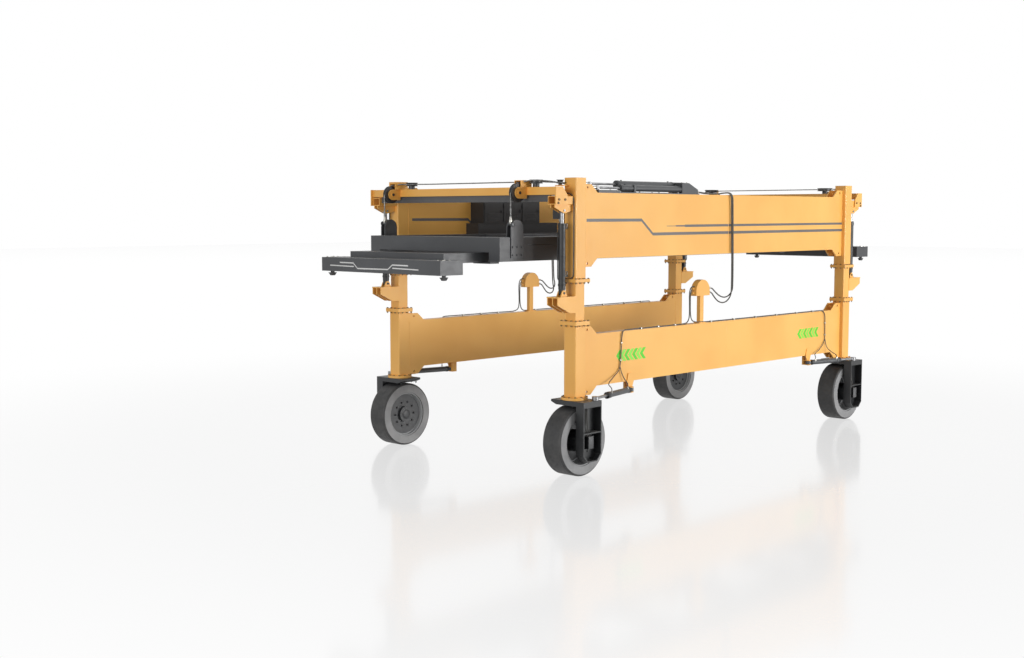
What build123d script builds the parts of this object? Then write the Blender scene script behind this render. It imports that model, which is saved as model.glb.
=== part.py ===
"""Gantry straddle carrier for shipping containers, in millimetres.

X runs along the machine with the front at -X, Y across it with the near side at -Y, Z up.
The origin is on the ground, in the middle of the four wheels.
The upper frame rides on four telescopic legs, and the spreader hangs from it on four ropes.
Heights stack up from the wheels, and everything across follows the track and the spreader.
"""
import os
from math import hypot, radians, tan

from build123d import *

# ---- chassis -------------------------------------------------------------------------------
WHEELBASE = 6980            # steering axis to steering axis, along X
TRACK = 3557                # steering axis to steering axis, across Y
COLUMN_SIZE = 210           # square legs, outside
COLUMN_WALL = 8
COLUMN_CORNER = 16
BEAM_RECESS = 60            # beam face set in from the leg's outer face
LOWER_BEAM_RISE = 151       # from the turntable's face to the beam
LOWER_BEAM_DEPTH = 715
LOWER_COLUMN_RISE = 145     # leg above the lower beam
UPPER_COLUMN_GAP = 575      # free inner leg between the collars, with the legs down
UPPER_BEAM_RISE = 310       # upper beam above the upper leg's end
UPPER_BEAM_DEPTH = 885
COLUMN_TOP_RISE = 195       # leg above the upper beam
COLLAR_OVERHANG = 45
COLLAR_CORNER = 20
UPPER_COLLAR_THICKNESS = 42
LOWER_COLLAR_THICKNESS = 26  # each of the two flanges bolted together
TURNTABLE_OVERHANG = 77     # flange round the leg's foot, beyond its faces
TURNTABLE_THICKNESS = 34
HAUNCH_TOE = 175            # level part of a corner plate, then it slopes to the beam
HAUNCH_LENGTH = 305
HAUNCH_HEIGHT = 112
HAUNCH_THICKNESS = 20
HAUNCH_HOLE = 16

# ---- telescopic legs and their cylinders ---------------------------------------------------
COLUMN_CLEARANCE = 5        # inner leg inside the outer one, on each side
INNER_COLUMN_CORNER = 10
INNER_COLUMN_DROP = 110     # inner leg's top under the outer one's
WEAR_PAD_GAP = 0.5
WEAR_PAD_HEIGHT = 120
LEG_CYLINDER_GAP = 112      # from the leg's face to the barrel
LEG_BARREL_RADIUS = 48
LEG_BARREL_LENGTH = 852
LEG_CAP_RADIUS = 54         # screwed cap at the barrel's mouth
LEG_CAP_HEIGHT = 46
LEG_ROD_RADIUS = 26
LEG_ROD_CLEARANCE = 1
LEG_ROD_LIFT = 50           # rod's end above the barrel's foot, with the legs down
LEG_EYE_RADIUS = 38
LEG_EYE_NECK = 48           # pin to barrel
LEG_PIN_RADIUS = 16
PIN_CLEARANCE = 0.2
PIN_END = 8                 # pin beyond the plates that carry it
LEG_LUG_THICKNESS = 16
LEG_LUG_HALF_GAP = 26
LEG_LUG_FOOT = 62           # half width of a bracket lug where it meets the top plate
LEG_BRACKET_DROP = 184      # bracket's top under the upper leg's end
LEG_BRACKET_OVERHANG = 185  # plate beyond the cylinder's axis
LEG_BRACKET_PLATE = 16
GUSSET_DEPTH = 205
GUSSET_EDGE = 92            # upright outer edge of a gusset
GUSSET_FOOT = 120           # level bottom edge of a gusset

# ---- crossbeams and rope sheaves -----------------------------------------------------------
CROSSBEAM_GAP = 210         # from the leg's outer face to the crossbeam
CROSSBEAM_DEPTH = 135
CROSSBEAM_HEIGHT = 105
CROSSBEAM_DROP = 35         # its underside, under the top of the upper beams
CHANNEL_DEPTH = 120         # channel for cables under the crossbeam
CHANNEL_HEIGHT = 90
CHANNEL_WALL = 10
CHANNEL_SET_BACK = 40
CHANNEL_END_GAP = 5
END_PLATE_THICKNESS = 20
END_PLATE_LIP = 30          # plate beyond the crossbeam's outer face
END_PLATE_TOE = 105
END_PLATE_HEEL = 205
END_PLATE_DROP = 40         # plate's foot under the channel
TUBE_WIDTH = 150            # open tube that holds the crossbeam off the leg
TUBE_HEIGHT = 113
TUBE_WALL = 10
TUBE_DROP = 15              # top of the tube under the crossbeam's underside
LUG_TIP = 40                # height of a cylinder lug at its free end
SHEAVE_RADIUS = 125
SHEAVE_WIDTH = 56
SHEAVE_GROOVE = 14
SHEAVE_LIP = 6
SHEAVE_CLEARANCE = 20       # sheave's rim off the crossbeam
SHEAVE_RISE = 28            # sheave axis above the crossbeam's underside
SHEAVE_PIN_RADIUS = 20
CHEEK_GAP = 4
CHEEK_THICKNESS = 14
CHEEK_RADIUS = 76
CHEEK_BOSS_RADIUS = 34
CHEEK_BOSS = 10
TOP_SHEAVE_HEIGHT = 50
TOP_SHEAVE_GAP = 48         # under a level sheave
TOP_SHEAVE_POST = 45
CORNER_SHEAVE_RADIUS = 50   # turns a rope from the crossbeam to the hoist cylinders
CORNER_SHEAVE_GAP = 12
CORNER_PLATE = 12
CORNER_PLATE_RISE = 27      # its top above the crossbeam's
ROPE_RADIUS = 10
GUARD_WIDTH = 120
GUARD_WALL = 10
GUARD_HEIGHT = 90
GUARD_SHIFT = 10            # hood's middle inboard of the rope
GUARD_REACH = 120           # hood beyond the crossbeam's outer face
GUARD_SEAT = 90             # and back over it
REAR_GUARD_SEAT = 15        # the rear level sheaves leave room for low rails only
REAR_HOOD_LENGTH = 50
REAR_RAIL_HEIGHT = 38

# ---- hoist cylinders -----------------------------------------------------------------------
HOIST_BASE_PLATE = 15
HOIST_BASE_CLEARANCE = 20   # base off the corner plate's toe
HOIST_CHANNEL_LENGTH = 460
HOIST_CHANNEL_HEIGHT = 26
HOIST_GAP = 13              # under the outer barrel
HOIST_STEP = 54             # inner cylinder's axis above the outer one's
HOIST_SPACING = 138
HOIST_OUTER_RADIUS = 45
HOIST_INNER_RADIUS = 50
HOIST_ROD_RADIUS = 16
HOIST_ROD_CLEARANCE = 0.5
HOIST_BORE_DEPTH = 300
HOIST_OUTER_BARREL = (-2520, -1040)
HOIST_INNER_BARREL = (-2440, -850)
HOIST_ROD_FRONT = -3000
HOIST_EYE_RADIUS = 28
HOIST_EYE_WIDTH = 36
HOIST_BAND = (-2262, -2222)
HOIST_BAND_LIP = 10
HOIST_CLEVIS = (-1140, -750)
HOIST_CLEVIS_LEVEL = 165
HOIST_CLEVIS_HEIGHT = 165
HOIST_CLEVIS_HEEL = 70
HOIST_SIDE = 24             # end block beyond the barrels' axes, as their radius and this

# ---- spreader ------------------------------------------------------------------------------
SPREADER_FRAME_OVERHANG = 239   # frame beyond the ropes
SPREADER_FRAME_WIDTH = 2600
SPREADER_FRAME_DEPTH = 320
SPREADER_DROP = 30          # frame's underside below that of the upper beams, at rest
SPREADER_GIRDER_WIDTH = 200
SPREADER_TIE_LIFT = 8       # cross ties above the telescopes
SPREADER_TIE_WIDTH = 260
TELESCOPE_SIDE_GAP = 155    # between a girder and a telescope's arm
TELESCOPE_DROP = 15
TELESCOPE_DEPTH = 129
TELESCOPE_ARM_WIDTH = 170
TELESCOPE_REACH = 675       # telescope's end beyond the frame's
TELESCOPE_LENGTH = 3300
SHOE_THICKNESS = 16         # shoes that carry a telescope's arms
SHOE_LENGTH = 160
SHOE_INSET = 30
SHOE_PITCH = 1700
PAD_INSET = 20
TWISTLOCK_SPACING = 2259    # across, as container corners are
END_BEAM_SIDE = 70.5        # end beam beyond a twistlock's axis
END_BEAM_DEPTH = 400
END_BEAM_REACH = 300        # end beam's face beyond the telescope's end
END_BEAM_SEAT = 49          # telescope's depth let into the end beam
END_BEAM_HEIGHT = 189
TWISTLOCK_INSET = 130
TWISTLOCK_SHANK_RADIUS = 28
TWISTLOCK_SHANK = 26
TWISTLOCK_HEAD = (104, 60)
TWISTLOCK_TIP = (50, 40)
TWISTLOCK_HEAD_HEIGHT = 42
YOKE_WIDTH = 230
YOKE_THICKNESS = 15
YOKE_GAP = 60
YOKE_RISE = 230             # yoke above the frame
YOKE_LAP = 275              # outer yoke plate down the frame's side
YOKE_SET_BACK = 80          # yoke's middle inboard of the rope
YOKE_PIN_DROP = 60
YOKE_PIN_RADIUS = 18
YOKE_PIN_END = 6

# ---- wheels, forks and steering ------------------------------------------------------------
WHEEL_RADIUS = 475
WHEEL_WIDTH = 320
TYRE_DEPTH = 140
TYRE_SHOULDER = 26
TYRE_CROWN = 6
RIM_WALL = 16
RIM_INSET = 12              # rim's edge inside the tyre's side
RIM_DISC_INSET = 70         # wheel disc in from the inboard side
RIM_DISC_THICKNESS = 22
HUB_RADIUS = 120
HUB_LENGTH = 39
HUB_BORE_RADIUS = 45
AXLE_CLEARANCE = 0.5
FORK_GAP = 0.5              # under the turntable
FORK_TYRE_GAP = 18          # under the fork's arm
FORK_SIDE_GAP = 30          # tyre's side to the fork's web
FORK_ARM_DEPTH = 65.5
FORK_ARM_INBOARD = 260
FORK_ARM_CHAMFER = 90
FORK_ARM_TIP = 30
FORK_HALF_LENGTH = 185
FORK_LEG_DEPTH = 135
FORK_PLATE = 15
FORK_RIB_RISE = 125         # rib above the wheel's axis
FORK_DROP = 257             # fork's foot under the wheel's axis
FORK_CHAMFER = 90
FORK_BLOCK = (110, 90, 170)  # valve block in the fork's leg
MOTOR_RADIUS = 150
MOTOR_GAP = 1
STUB_INSET = 10
STEER_PIN_X = 80            # rod's pin, from the steering axis toward the middle
STEER_PIN_Y = 300           # and outboard
STEER_BRACKET_X = 1130
STEER_BRACKET_Y = 60
STEER_RISE = 32             # cylinder's axis above the turntable's face
STEER_BARREL_RADIUS = 40
STEER_BARREL_LENGTH = 640
STEER_CAP_RADIUS = 46
STEER_CAP_LENGTH = 50
STEER_NECK = 12
STEER_ROD_INSIDE = 330
STEER_ROD_RADIUS = 20
STEER_BORE_END = 60
STEER_EYE_RADIUS = 45
STEER_EYE_HEIGHT = 52
STEER_PIN_RADIUS = 20
STEER_PIN_CLEARANCE = 0.5
STEER_LUG_GAP = 2
STEER_LUG_THICKNESS = 12
STEER_PLATE = 15
STEER_PLATE_HALF = 75
STEER_PLATE_RISE = 115      # side plate up the beam's face
STEER_WEB = (70, 100)       # both faces of the web, from the beam's inner face

# ---- hoses, their guides, and boxes on the frame -------------------------------------------
GUIDE_X = -590
GUIDE_RADIUS = 170
GUIDE_RISE = 650            # top of the guide above the lower beam
GUIDE_DROP = 70             # straight sides under the half round
GUIDE_DEPTH = 100
GUIDE_POST = (90, 60)
GUIDE_FOOT = (170, 110, 14)
HOSE_RADIUS = 10
GLANDS = (-28, 38)          # heights about the middle of the guide's round head
GLAND_RADIUS = 17
GLAND_REACH = 40
GLAND_GAP = 0.3
HOSE_BLOCK = (60, 76, 47)   # along, across and up
HOSE_BLOCK_X = -200
HOSE_BLOCK_INSET = 8.5      # from the beam's face
CABINET = (-2060, -755, 288, 345)   # both ends, depth off the beam, height
CABINET_TRAY = (-2160, -300, 270, 285)
CABINET_DROP = 85           # top of the cabinet under the beam's top
CABINET_DOORS = 3
CABINET_DOOR_GAP = 22
CABINET_DOOR_DEPTH = 8
VALVE_BOX = (190, 213, 130)  # along, across and up
VALVE_BOX_DROP = 225

# ---- worked out ----------------------------------------------------------------------------
AXLE_X = WHEELBASE / 2
AXLE_Y = TRACK / 2
HALF_COLUMN = COLUMN_SIZE / 2
LEG_FACE = AXLE_X + HALF_COLUMN
INNER_COLUMN_SIZE = COLUMN_SIZE - 2 * (COLUMN_WALL + COLUMN_CLEARANCE)
BEAM_WIDTH = COLUMN_SIZE - BEAM_RECESS
BEAM_FACE = AXLE_Y + HALF_COLUMN - BEAM_RECESS
BEAM_BACK = BEAM_FACE - BEAM_WIDTH
BEAM_Y = BEAM_FACE - BEAM_WIDTH / 2
TURNTABLE_RADIUS = HALF_COLUMN + TURNTABLE_OVERHANG

FORK_ARM_BOTTOM = 2 * WHEEL_RADIUS + FORK_TYRE_GAP
FORK_TOP = FORK_ARM_BOTTOM + FORK_ARM_DEPTH
LOWER_COLUMN_BOTTOM = FORK_TOP + FORK_GAP
LOWER_BEAM_BOTTOM = LOWER_COLUMN_BOTTOM + LOWER_BEAM_RISE
LOWER_BEAM_TOP = LOWER_BEAM_BOTTOM + LOWER_BEAM_DEPTH
LOWER_COLUMN_TOP = LOWER_BEAM_TOP + LOWER_COLUMN_RISE
UPPER_COLUMN_BOTTOM = LOWER_COLUMN_TOP + UPPER_COLUMN_GAP
UPPER_BEAM_BOTTOM = UPPER_COLUMN_BOTTOM + UPPER_BEAM_RISE
UPPER_BEAM_TOP = UPPER_BEAM_BOTTOM + UPPER_BEAM_DEPTH
COLUMN_TOP = UPPER_BEAM_TOP + COLUMN_TOP_RISE
INNER_COLUMN_TOP = COLUMN_TOP - INNER_COLUMN_DROP

CROSSBEAM_BACK = LEG_FACE + CROSSBEAM_GAP
CROSSBEAM_FACE = CROSSBEAM_BACK + CROSSBEAM_DEPTH
CROSSBEAM_BOTTOM = UPPER_BEAM_TOP - CROSSBEAM_DROP
CROSSBEAM_TOP = CROSSBEAM_BOTTOM + CROSSBEAM_HEIGHT
CHANNEL_BOTTOM = CROSSBEAM_BOTTOM - CHANNEL_HEIGHT
CROSSBEAM_HALF = AXLE_Y + HALF_COLUMN - 2 * END_PLATE_THICKNESS
TUBE_TOP = CROSSBEAM_BOTTOM - TUBE_DROP
TUBE_BOTTOM = TUBE_TOP - TUBE_HEIGHT
SHEAVE_X = CROSSBEAM_FACE + SHEAVE_RADIUS + SHEAVE_CLEARANCE
SHEAVE_Z = CROSSBEAM_BOTTOM + SHEAVE_RISE
ROPE_X = SHEAVE_X + SHEAVE_RADIUS - SHEAVE_GROOVE + ROPE_RADIUS
TOP_SHEAVE_Z = CROSSBEAM_TOP + TOP_SHEAVE_GAP + TOP_SHEAVE_HEIGHT / 2

LEG_CYLINDER_X = LEG_FACE + LEG_CYLINDER_GAP + LEG_BARREL_RADIUS
LEG_BRACKET_TOP = UPPER_COLUMN_BOTTOM - LEG_BRACKET_DROP
LEG_BOTTOM_PIN_Z = LEG_BRACKET_TOP + LEG_EYE_RADIUS + PIN_END
LEG_BARREL_BOTTOM = LEG_BOTTOM_PIN_Z + LEG_EYE_NECK
LEG_BARREL_TOP = LEG_BARREL_BOTTOM + LEG_BARREL_LENGTH
LEG_TOP_PIN_Z = TUBE_BOTTOM - LEG_EYE_RADIUS - LUG_TIP

HOIST_OUTER_Z = UPPER_BEAM_TOP + HOIST_BASE_PLATE + HOIST_GAP + HOIST_OUTER_RADIUS
HOIST_INNER_Z = HOIST_OUTER_Z + HOIST_STEP
HOIST_INNER_Y = -BEAM_Y + HOIST_SPACING
HOIST_BASE_FRONT = -(AXLE_X - HALF_COLUMN - HAUNCH_LENGTH - HOIST_BASE_CLEARANCE)

HALF_FRAME = ROPE_X + SPREADER_FRAME_OVERHANG
HALF_WIDTH = SPREADER_FRAME_WIDTH / 2
GIRDER_BACK = HALF_WIDTH - SPREADER_GIRDER_WIDTH
ROPE_Y = HALF_WIDTH - YOKE_GAP / 2
SPREADER_FRAME_BOTTOM = UPPER_BEAM_BOTTOM - SPREADER_DROP
SPREADER_FRAME_TOP = SPREADER_FRAME_BOTTOM + SPREADER_FRAME_DEPTH
TELESCOPE_BOTTOM = SPREADER_FRAME_BOTTOM - TELESCOPE_DROP
TELESCOPE_TOP = TELESCOPE_BOTTOM + TELESCOPE_DEPTH
TELESCOPE_HALF = GIRDER_BACK - TELESCOPE_SIDE_GAP
TELESCOPE_INSIDE = TELESCOPE_HALF - TELESCOPE_ARM_WIDTH
TELESCOPE_FRONT = HALF_FRAME + TELESCOPE_REACH
SPREADER_TIE_BOTTOM = TELESCOPE_TOP + SPREADER_TIE_LIFT
END_BEAM_OUT = TELESCOPE_FRONT + END_BEAM_REACH
END_BEAM_TOP = TELESCOPE_BOTTOM + END_BEAM_SEAT
END_BEAM_BOTTOM = END_BEAM_TOP - END_BEAM_HEIGHT
END_BEAM_HALF = TWISTLOCK_SPACING / 2 + END_BEAM_SIDE
YOKE_TOP = SPREADER_FRAME_TOP + YOKE_RISE
YOKE_X = ROPE_X - YOKE_SET_BACK
YOKE_PIN_Z = YOKE_TOP - YOKE_PIN_DROP

TYRE_INNER_RADIUS = WHEEL_RADIUS - TYRE_DEPTH
RIM_DISC_Y = WHEEL_WIDTH / 2 - RIM_DISC_INSET
FORK_WEB = AXLE_Y + WHEEL_WIDTH / 2 + FORK_SIDE_GAP
FORK_OUT = FORK_WEB + FORK_LEG_DEPTH
FORK_BOTTOM = WHEEL_RADIUS - FORK_DROP
STEER_Z = LOWER_COLUMN_BOTTOM + STEER_RISE
GUIDE_TOP = LOWER_BEAM_TOP + GUIDE_RISE

ENDS = (("front", -1), ("rear", 1))
SIDES = (("near", -1), ("far", 1))
CORNERS = [(f"{end}_{side}", sx, sy) for end, sx in ENDS for side, sy in SIDES]
# level sheaves on top of the crossbeams: end sign, side sign, distance out past the rope, radius
TOP_SHEAVES = (
    (-1, -1, 150, 90),
    (-1, 1, -220, 90),
    (1, -1, -80, 130),
    (1, 1, -40, 130),
)
# hose routes: X, then distance out from the beam's face, then height over its top
HOSES_OVER_EDGE = {
    "a": ((-90, -20.5, 31), (-14, 20.5, 35), (30, 28.5, -9), (48, 28.5, -95)),
    "b": ((-62, -61.5, 31), (22, 16.5, 39), (70, 28.5, -19), (82, 28.5, -97)),
}
HOSES_FROM_CYLINDERS = {
    "a": ((-749.7, -45.5, 37), (-660, -45.5, 35), (-520, -42.5, 19), (-330, -35.5, 14), (-170, -28.5, 19)),
    "b": ((-749.7, -83.5, 37), (-655, -83.5, 35), (-515, -81.5, 19), (-330, -76.5, 14), (-160, -69.5, 19)),
}
HOSES_FROM_BLOCK = {"a": ((-169.7, -20.5, 31),), "b": ((-169.7, -61.5, 31),)}
# and on to the guide: X, distance out from the beam's middle, height over the gland
HOSES_TO_GLAND = {
    "a": (
        (84, 103.5, 20), (88, 71.5, -90), (30, 45.5, -160), (-65, 31.5, -178),
        (-165, 15.5, -146), (-252, 3.5, -68), (-312, 0, 0),
    ),
    "b": (
        (114, 103.5, 12), (122, 75.5, -78), (74, 48.5, -142), (-22, 34.5, -164),
        (-126, 17.5, -132), (-220, 3.5, -66), (-305, 0, 0),
    ),
}

os.makedirs("parts", exist_ok=True)


def save(builder, name):
    """Label a finished piece and write it as its own file."""
    builder.part.label = name
    export_step(builder.part, f"parts/{name}.step")


def side_plane(y):
    """A plane at this Y whose sketch X is the machine's X and sketch Y is up."""
    return Plane((0, y, 0), x_dir=(1, 0, 0), z_dir=(0, -1, 0))


def box_between(x0, x1, y0, y1, z0, z1, mode=Mode.ADD):
    """A box from its corner coordinates."""
    with Locations(((x0 + x1) / 2, (y0 + y1) / 2, (z0 + z1) / 2)):
        Box(abs(x1 - x0), abs(y1 - y0), abs(z1 - z0), mode=mode)


def square_leg(sx, sy, bottom, top, size, corner, mode=Mode.ADD):
    """Upright square length with rounded corners on a steering axis."""
    with BuildSketch(Plane.XY.offset(bottom)) as outline:
        with Locations((sx * AXLE_X, sy * AXLE_Y)):
            RectangleRounded(size, size, corner)
    extrude(to_extrude=outline.sketch, amount=top - bottom, mode=mode)


def collar(sx, sy, bottom, thickness):
    """Square flange round a leg."""
    size = COLUMN_SIZE + 2 * COLLAR_OVERHANG
    square_leg(sx, sy, bottom, bottom + thickness, size, COLLAR_CORNER)


def beam(sy, bottom, top):
    """Deep side beam that runs into both legs, with corner plates over and under its ends."""
    root = AXLE_X - HALF_COLUMN + COLUMN_CORNER
    box_between(-root, root, sy * BEAM_BACK, sy * BEAM_FACE, bottom, top)
    for centre in (BEAM_FACE - HAUNCH_THICKNESS / 2, BEAM_BACK + HAUNCH_THICKNESS / 2):
        for sx in (-1, 1):
            leg = sx * (AXLE_X - HALF_COLUMN)
            for edge, up in ((top, 1), (bottom, -1)):
                with BuildSketch(side_plane(sy * centre)) as plate:
                    with BuildLine() as outline:
                        Polyline(
                            (sx * root, edge),
                            (sx * root, edge + up * HAUNCH_HEIGHT),
                            (leg - sx * HAUNCH_TOE, edge + up * HAUNCH_HEIGHT),
                            (leg - sx * HAUNCH_LENGTH, edge),
                            close=True,
                        )
                    make_face(outline.edges())
                    with Locations((leg - sx * HAUNCH_TOE * 0.55, edge + up * HAUNCH_HEIGHT * 0.6)):
                        Circle(HAUNCH_HOLE, mode=Mode.SUBTRACT)
                extrude(to_extrude=plate.sketch, amount=HAUNCH_THICKNESS / 2, both=True)


def clevis_pin(x, y, z):
    """Eye and pin of a leg cylinder's end, across the machine."""
    for radius, half_length in (
        (LEG_EYE_RADIUS, LEG_LUG_HALF_GAP - 1),
        (LEG_PIN_RADIUS - PIN_CLEARANCE, LEG_LUG_HALF_GAP + LEG_LUG_THICKNESS + PIN_END),
    ):
        with BuildSketch(side_plane(y)) as section:
            with Locations((x, z)):
                Circle(radius)
        extrude(to_extrude=section.sketch, amount=half_length, both=True)


def groove_profile(radius, width):
    """Half section of a grooved sheave, radius along sketch X and width along sketch Y."""
    with BuildLine() as outline:
        Polyline(
            (0, -width / 2),
            (radius, -width / 2),
            (radius, -width / 2 + SHEAVE_LIP),
            (radius - SHEAVE_GROOVE, -width / 5),
            (radius - SHEAVE_GROOVE, width / 5),
            (radius, width / 2 - SHEAVE_LIP),
            (radius, width / 2),
            (0, width / 2),
            close=True,
        )
    make_face(outline.edges())


def level_sheave(x, y, radius, post_radius, post_bottom):
    """Sheave on an upright axis with the post that carries it."""
    section = Plane((x, y, TOP_SHEAVE_Z), x_dir=(1, 0, 0), z_dir=(0, -1, 0))
    with BuildSketch(section) as profile:
        groove_profile(radius, TOP_SHEAVE_HEIGHT)
    revolve(profiles=profile.sketch, axis=Axis((x, y, 0), (0, 0, 1)))
    with BuildSketch(Plane.XY.offset(post_bottom)) as post:
        with Locations((x, y)):
            Circle(post_radius)
    extrude(to_extrude=post.sketch, amount=TOP_SHEAVE_Z - TOP_SHEAVE_HEIGHT / 2 - post_bottom)


def fork_leg_outline(cx):
    """Side view of a fork's leg: square at the arm, with its bottom corners cut."""
    with BuildLine() as outline:
        Polyline(
            (cx - FORK_HALF_LENGTH, FORK_ARM_BOTTOM),
            (cx - FORK_HALF_LENGTH, FORK_BOTTOM + FORK_CHAMFER),
            (cx - FORK_HALF_LENGTH + FORK_CHAMFER, FORK_BOTTOM),
            (cx + FORK_HALF_LENGTH - FORK_CHAMFER, FORK_BOTTOM),
            (cx + FORK_HALF_LENGTH, FORK_BOTTOM + FORK_CHAMFER),
            (cx + FORK_HALF_LENGTH, FORK_ARM_BOTTOM),
            close=True,
        )
    make_face(outline.edges())


def hose(name, points):
    """Round hose along straight runs joined by tangent arcs."""
    corners = [Vector(*point) for point in points]
    radii = []
    for before, here, after in zip(corners, corners[1:], corners[2:]):
        arriving, leaving = here - before, after - here
        half_turn = radians(arriving.get_angle(leaving)) / 2
        radii.append(0.45 * min(arriving.length, leaving.length) / tan(half_turn))
    with BuildPart() as tube:
        with BuildLine():
            route = FilletPolyline(*corners, radius=radii)
        with BuildSketch(Plane(route @ 0, z_dir=route % 0)) as section:
            Circle(HOSE_RADIUS)
        sweep(sections=section.sketch, path=route)
    save(tube, name)
    bends = [round(radius) for radius in radii]
    print(name, "length", round(route.length, 1), "volume", round(tube.part.volume), "bends", bends)


# ---- lower side frames: legs below, long beam, turntable flanges, steering brackets --------
for side, sy in SIDES:
    with BuildPart() as lower_frame:
        beam(sy, LOWER_BEAM_BOTTOM, LOWER_BEAM_TOP)
        for sx in (-1, 1):
            square_leg(sx, sy, LOWER_COLUMN_BOTTOM, LOWER_COLUMN_TOP, COLUMN_SIZE, COLUMN_CORNER)
            with BuildSketch(Plane.XY.offset(LOWER_COLUMN_BOTTOM)):
                with Locations((sx * AXLE_X, sy * AXLE_Y)):
                    Circle(TURNTABLE_RADIUS)
            extrude(amount=TURNTABLE_THICKNESS)
            collar(sx, sy, LOWER_COLUMN_TOP, LOWER_COLLAR_THICKNESS)

            bracket_x = sx * (AXLE_X - STEER_BRACKET_X)
            bracket_y = sy * (AXLE_Y + STEER_BRACKET_Y)
            web_in, web_out = sy * (BEAM_BACK + STEER_WEB[0]), sy * (BEAM_BACK + STEER_WEB[1])
            upper_lug = STEER_Z + STEER_EYE_HEIGHT / 2 + STEER_LUG_GAP
            lower_lug = STEER_Z - STEER_EYE_HEIGHT / 2 - STEER_LUG_GAP - STEER_LUG_THICKNESS
            for level in (upper_lug, lower_lug):
                with BuildSketch(Plane.XY.offset(level)):
                    with Locations((bracket_x, bracket_y)):
                        Circle(STEER_EYE_RADIUS)
                    with Locations((bracket_x, (bracket_y + web_in) / 2)):
                        Rectangle(2 * STEER_EYE_RADIUS, abs(bracket_y - web_in))
                extrude(amount=STEER_LUG_THICKNESS)
            box_between(
                bracket_x - STEER_EYE_RADIUS, bracket_x + STEER_EYE_RADIUS,
                web_in, web_out, lower_lug, LOWER_BEAM_BOTTOM,
            )
            pin_half = STEER_EYE_HEIGHT / 2 + STEER_PIN_RADIUS
            with Locations((bracket_x, bracket_y, STEER_Z)):
                Cylinder(STEER_PIN_RADIUS, 2 * pin_half)
            foot = upper_lug + STEER_LUG_THICKNESS
            head = LOWER_BEAM_BOTTOM + STEER_PLATE_RISE
            with BuildSketch(side_plane(sy * (BEAM_FACE + STEER_PLATE / 2))):
                with BuildLine():
                    Polyline(
                        (bracket_x - STEER_PLATE_HALF, LOWER_BEAM_BOTTOM),
                        (bracket_x - STEER_EYE_RADIUS, foot),
                        (bracket_x + STEER_EYE_RADIUS, foot),
                        (bracket_x + STEER_PLATE_HALF, LOWER_BEAM_BOTTOM),
                        (bracket_x + STEER_EYE_RADIUS, head),
                        (bracket_x - STEER_EYE_RADIUS, head),
                        close=True,
                    )
                make_face()
            extrude(amount=STEER_PLATE / 2, both=True)
    save(lower_frame, f"{side}_lower_frame")


# ---- inner legs with the brackets that carry the leg cylinders -----------------------------
for side, sy in SIDES:
    with BuildPart() as inner_columns:
        for sx in (-1, 1):
            bottom = LOWER_COLUMN_TOP + LOWER_COLLAR_THICKNESS
            square_leg(sx, sy, bottom, INNER_COLUMN_TOP, INNER_COLUMN_SIZE, INNER_COLUMN_CORNER)
            collar(sx, sy, bottom, LOWER_COLLAR_THICKNESS)
            face = AXLE_X + INNER_COLUMN_SIZE / 2
            root = face - INNER_COLUMN_CORNER
            tip = LEG_CYLINDER_X + LEG_BRACKET_OVERHANG
            under = LEG_BRACKET_TOP - LEG_BRACKET_PLATE
            box_between(
                sx * root, sx * tip,
                sy * (AXLE_Y - HALF_COLUMN), sy * (AXLE_Y + HALF_COLUMN), under, LEG_BRACKET_TOP,
            )
            for shift in (-HALF_COLUMN + LEG_BRACKET_PLATE, 0, HALF_COLUMN - LEG_BRACKET_PLATE):
                with BuildSketch(side_plane(sy * AXLE_Y + shift)):
                    with BuildLine():
                        Polyline(
                            (sx * root, under),
                            (sx * tip, under),
                            (sx * tip, under - GUSSET_EDGE),
                            (sx * (face + GUSSET_FOOT), under - GUSSET_DEPTH),
                            (sx * root, under - GUSSET_DEPTH),
                            close=True,
                        )
                    make_face()
                extrude(amount=LEG_BRACKET_PLATE / 2, both=True)
            for side_sign in (-1, 1):
                lug_y = sy * AXLE_Y + side_sign * (LEG_LUG_HALF_GAP + LEG_LUG_THICKNESS / 2)
                with BuildSketch(side_plane(lug_y)):
                    with Locations((sx * LEG_CYLINDER_X, LEG_BOTTOM_PIN_Z)):
                        Circle(LEG_EYE_RADIUS)
                    with Locations((sx * LEG_CYLINDER_X, LEG_BRACKET_TOP)):
                        Rectangle(2 * LEG_LUG_FOOT, LEG_BRACKET_PLATE)
                    make_hull()
                    with Locations((sx * LEG_CYLINDER_X, LEG_BOTTOM_PIN_Z)):
                        Circle(LEG_PIN_RADIUS, mode=Mode.SUBTRACT)
                extrude(amount=LEG_LUG_THICKNESS / 2, both=True)
    save(inner_columns, f"{side}_inner_columns")


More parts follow.
